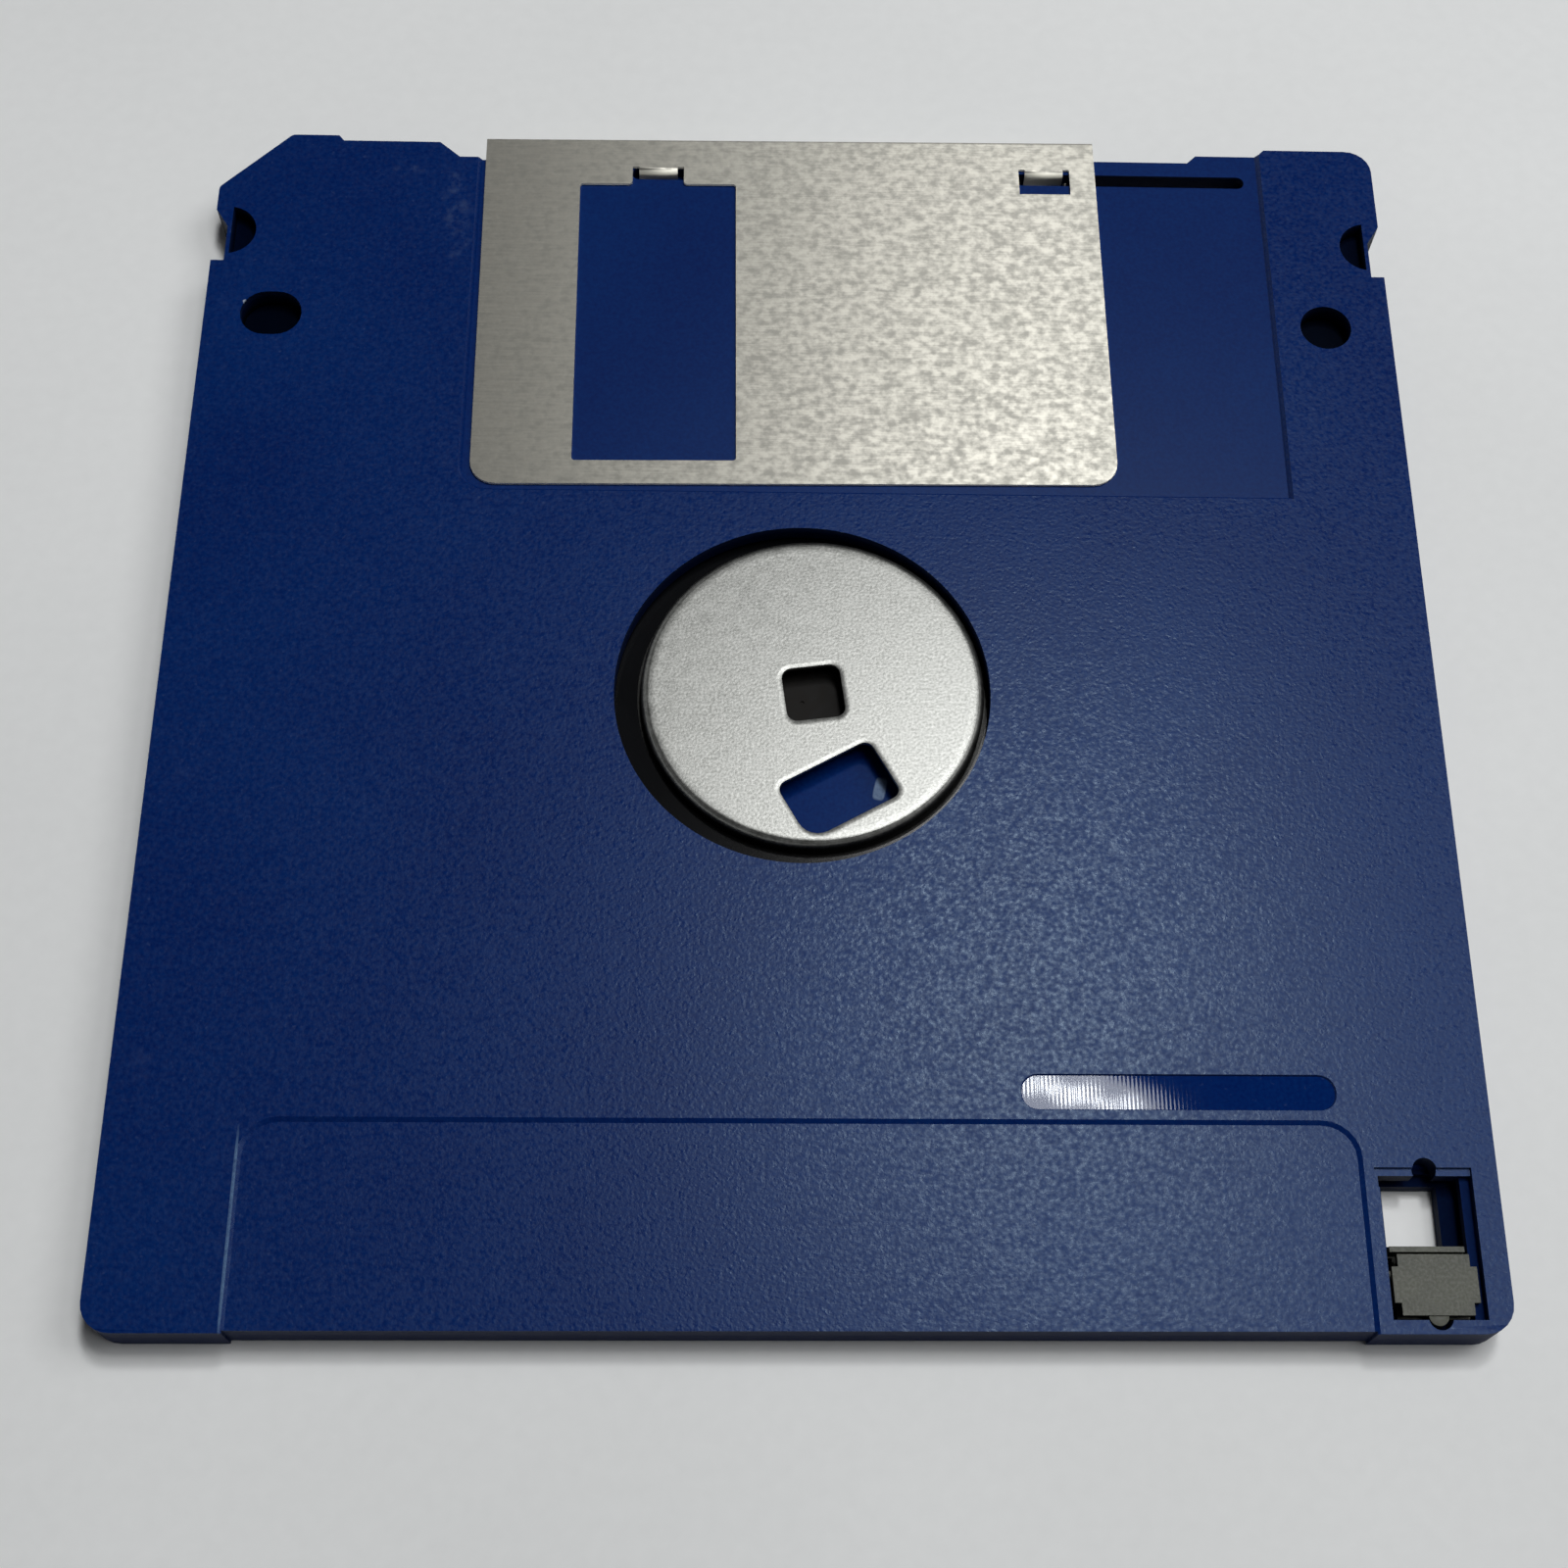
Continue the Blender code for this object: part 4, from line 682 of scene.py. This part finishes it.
# Millimetres outwards from a hole's edge, less than nothing inside it
def outsideHole(tree, place, hole):
    axes = turnedAxes(tree, place, hole["middle"], hole["turn"])
    # The wide corner is where both axes are below nothing
    low = [add(tree, "Math", (axes[i], 0.0), operation="LESS_THAN") for i in (0, 1)]
    quarter = add(tree, "Math", low, operation="MULTIPLY")
    wider = hole["wideCorner"] - hole["corner"]
    corner = add(tree, "Math", (quarter, wider, hole["corner"]), operation="MULTIPLY_ADD")
    squares = []
    for i in (0, 1):
        straight = add(tree, "Math", (hole["half"][i], corner), operation="SUBTRACT")
        away = add(tree, "Math", (axes[i],), operation="ABSOLUTE")
        beyond = add(tree, "Math", (away, straight), operation="SUBTRACT")
        beyond = add(tree, "Math", (beyond, 0.0), operation="MAXIMUM")
        squares.append(add(tree, "Math", (beyond, 2.0), operation="POWER"))
    length = add(tree, "Math", (add(tree, "Math", squares, operation="ADD"),), operation="SQRT")
    return add(tree, "Math", (length, corner), operation="SUBTRACT")


# Steel pressed to shape and nickel plated in a barrel: an even, satin white with fine pits and soft edges
def platedSteel():
    made, tree, shader, place = newMaterial("barrelPlatedNickelSteel")
    cloudInputs = {"Vector": place, "Scale": 1 / hubLook["cloudSize"], "Detail": 3, "Roughness": 0.55}
    clouds = add(tree, "TexNoise", cloudInputs)
    pits = add(tree, "TexNoise", {"Vector": place, "Scale": 1 / hubLook["pitSize"], "Detail": 2})
    tone = add(tree, "Mix", {0: hubLook["pitShare"], 2: clouds, 3: pits})
    colour = twoTone(tree, hubLook, tone)
    height = add(tree, "SeparateXYZ", (place,), "Z")
    under = add(tree, "MapRange", (height, *hubLook["shadeLevels"], hubLook["shadeShare"], 0.0))
    colour = layered(tree, colour, [(under, hubLook["shade"])])
    edge = add(tree, "MapRange", (fromAxis(tree, place, middleOf("hub")), *hubLook["rimRoll"]))
    rim = add(tree, "Bump", {"Height": rolledOver(tree, edge), "Distance": hubLook["rimDrop"] * mm})
    full = 1.0
    for hole in hubHoles.values():
        away = outsideHole(tree, place, hole)
        share = add(tree, "MapRange", (away, 0.0, hubLook["holeRoll"], 1.0, 0.0))
        full = add(tree, "Math", (full, rolledOver(tree, share)), operation="MINIMUM")
    holes = add(tree, "Bump", {"Height": full, "Distance": hubLook["holeDrop"] * mm, "Normal": rim})
    pitted = add(tree, "Bump", {"Height": tone, "Distance": hubLook["pitDepth"] * mm, "Normal": holes})
    rough = add(tree, "MapRange", (clouds, *noiseRange, *hubLook["roughness"]))
    feed(tree, shader, {"Base Color": colour, "Roughness": rough, "Normal": pitted, "Metallic": 1.0})
    return made


dressed("hub", platedSteel(), rounding=hubLook["rounding"], segments=3, onlyAbove=hubLook["roundAbove"])

# The tab: lengths in millimetres
tabLook = {
    "dark": "3A3D34",
    "pale": "484B3F",
    "spread": (0.35, 0.65),
    "fleck": "5E6154",
    "cloudSize": 2.5,
    "fleckSize": 0.2,
    "fleckRange": (0.62, 0.8),
    "fleckShare": 0.4,
    "fleckDepth": 0.01,
    "roughness": (0.45, 0.6),
    "rounding": 0.05,
}


# Injection-moulded acetal: slightly waxy and grey-green, with fine specks and a dull skin
def mouldedAcetal():
    made, tree, shader, place = newMaterial("injectionMouldedAcetal")
    flecks = add(tree, "TexNoise", {"Vector": place, "Scale": 1 / tabLook["fleckSize"], "Detail": 3})
    clouds = add(tree, "TexNoise", {"Vector": place, "Scale": 1 / tabLook["cloudSize"], "Detail": 2})
    colour = twoTone(tree, tabLook, clouds)
    share = add(tree, "MapRange", (flecks, *tabLook["fleckRange"], 0.0, tabLook["fleckShare"]))
    feed(tree, shader, {
        "Base Color": layered(tree, colour, [(share, tabLook["fleck"])]),
        "Roughness": add(tree, "MapRange", (flecks, *noiseRange, *tabLook["roughness"])),
        "Normal": add(tree, "Bump", {"Height": flecks, "Distance": tabLook["fleckDepth"] * mm}),
    })
    return made


dressed("write_protect_tab", mouldedAcetal(), rounding=tabLook["rounding"])
print("shutter, hub and tab dressed")

# The media: lengths in millimetres
mediaLook = {
    "dark": "07080A",
    "pale": "0D0E11",
    "spread": noiseRange,
    "cloudSize": 6,
    "ringsPerMm": 30,
    "ringDepth": 0.0006,
    "roughness": (0.12, 0.18),
    "gloss": 0.15,
    "sharpAngle": 40,
}


# Oxide-coated polyester film, burnished as it turned: near black, with a dim sheen over its fine rings
def oxideCoating():
    made, tree, shader, place = newMaterial("burnishedOxideCoating")
    ringInputs = {"W": fromAxis(tree, place, middleOf("magnetic_disk")), "Scale": mediaLook["ringsPerMm"]}
    rings = add(tree, "TexNoise", {**ringInputs, "Detail": 3}, noise_dimensions="1D")
    clouds = add(tree, "TexNoise", {"Vector": place, "Scale": 1 / mediaLook["cloudSize"], "Detail": 2})
    feed(tree, shader, {
        "Base Color": twoTone(tree, mediaLook, clouds),
        "Roughness": add(tree, "MapRange", (rings, *noiseRange, *mediaLook["roughness"])),
        "Normal": add(tree, "Bump", {"Height": rings, "Distance": mediaLook["ringDepth"] * mm}),
        "Specular IOR Level": mediaLook["gloss"],
    })
    return made


dressed("magnetic_disk", oxideCoating(), sharpAngle=mediaLook["sharpAngle"])

# The liners: lengths in millimetres. Strands are drawn coarser than the real ones, so that they show
linerLook = {
    "dark": "C6C6C2",
    "pale": "ECECE8",
    "spread": (0.4, 0.75),
    "strandSize": 0.35,
    "strandStretches": ((0.25, 1, 1), (1, 0.25, 1)),
    "strandDepth": 0.05,
    "roughness": 0.95,
    "fuzz": 0.3,
    "sharpAngle": 40,
}


# Point-bonded polyester fleece: crossed strands, which look white, soft and dull
def bondedFleece(name):
    made, tree, shader, place = newMaterial(name)
    strands = []
    for stretch in linerLook["strandStretches"]:
        drawn = add(tree, "VectorMath", (place, stretch), operation="MULTIPLY")
        inputs = {"Vector": drawn, "Scale": 1 / linerLook["strandSize"], "Detail": 4, "Roughness": 0.7}
        strands.append(add(tree, "TexNoise", inputs))
    crossed = add(tree, "Math", strands, operation="MAXIMUM")
    feed(tree, shader, {
        "Base Color": twoTone(tree, linerLook, crossed),
        "Normal": add(tree, "Bump", {"Height": crossed, "Distance": linerLook["strandDepth"] * mm}),
        "Roughness": linerLook["roughness"],
        "Sheen Weight": linerLook["fuzz"],
    })
    return made


for linerSide in ("back", "front"):
    fleece = bondedFleece("pointBondedFleece" + linerSide.title())
    dressed(linerSide + "_liner", fleece, sharpAngle=linerLook["sharpAngle"])

# Four pieces share one recipe, each with its own values: lengths in millimetres
plainLooks = {
    # Extruded polyester film, smooth from its rollers: straw-coloured and shiny
    "liner_lifter": {
        "name": "extrudedPolyesterFilm", "dark": "8C8878", "pale": "A09B88",
        "size": 3.0, "depth": 0.002, "roughness": (0.2, 0.32), "gloss": 0.5, "metallic": 0.0,
    },
    # Polyethylene skived off a block: near black, waxy and dull
    "hub_wear_pad": {
        "name": "skivedPolyethylene", "dark": "121110", "pale": "1C1A18",
        "size": 0.8, "depth": 0.006, "roughness": (0.55, 0.7), "gloss": 0.15, "metallic": 0.0,
    },
    # Acrylic adhesive cast as a film: pale amber and dull
    "hub_adhesive_ring": {
        "name": "castAcrylicAdhesive", "dark": "A89C78", "pale": "BEB28C",
        "size": 1.5, "depth": 0.01, "roughness": (0.5, 0.7), "gloss": 0.5, "metallic": 0.0,
    },
    # Spring steel wire drawn through a die: bright and finely mottled
    "shutter_spring": {
        "name": "drawnSpringSteelWire", "dark": "8E8D8A", "pale": "C6C5C0",
        "size": 0.2, "depth": 0.004, "roughness": (0.2, 0.35), "gloss": 0.5, "metallic": 1.0,
    },
}
plainSpread = (0.35, 0.65)
plainSharpAngle = 50


def plainMaterial(look):
    made, tree, shader, place = newMaterial(look["name"])
    tone = add(tree, "TexNoise", {"Vector": place, "Scale": 1 / look["size"], "Detail": 3})
    feed(tree, shader, {
        "Base Color": twoTone(tree, {**look, "spread": plainSpread}, tone),
        "Roughness": add(tree, "MapRange", (tone, *noiseRange, *look["roughness"])),
        "Normal": add(tree, "Bump", {"Height": tone, "Distance": look["depth"] * mm}),
        "Metallic": look["metallic"],
        "Specular IOR Level": look["gloss"],
    })
    return made


for plainNode, plainLook in plainLooks.items():
    dressed(plainNode, plainMaterial(plainLook), sharpAngle=plainSharpAngle)
print("inner pieces dressed")

bpy.context.view_layer.update()
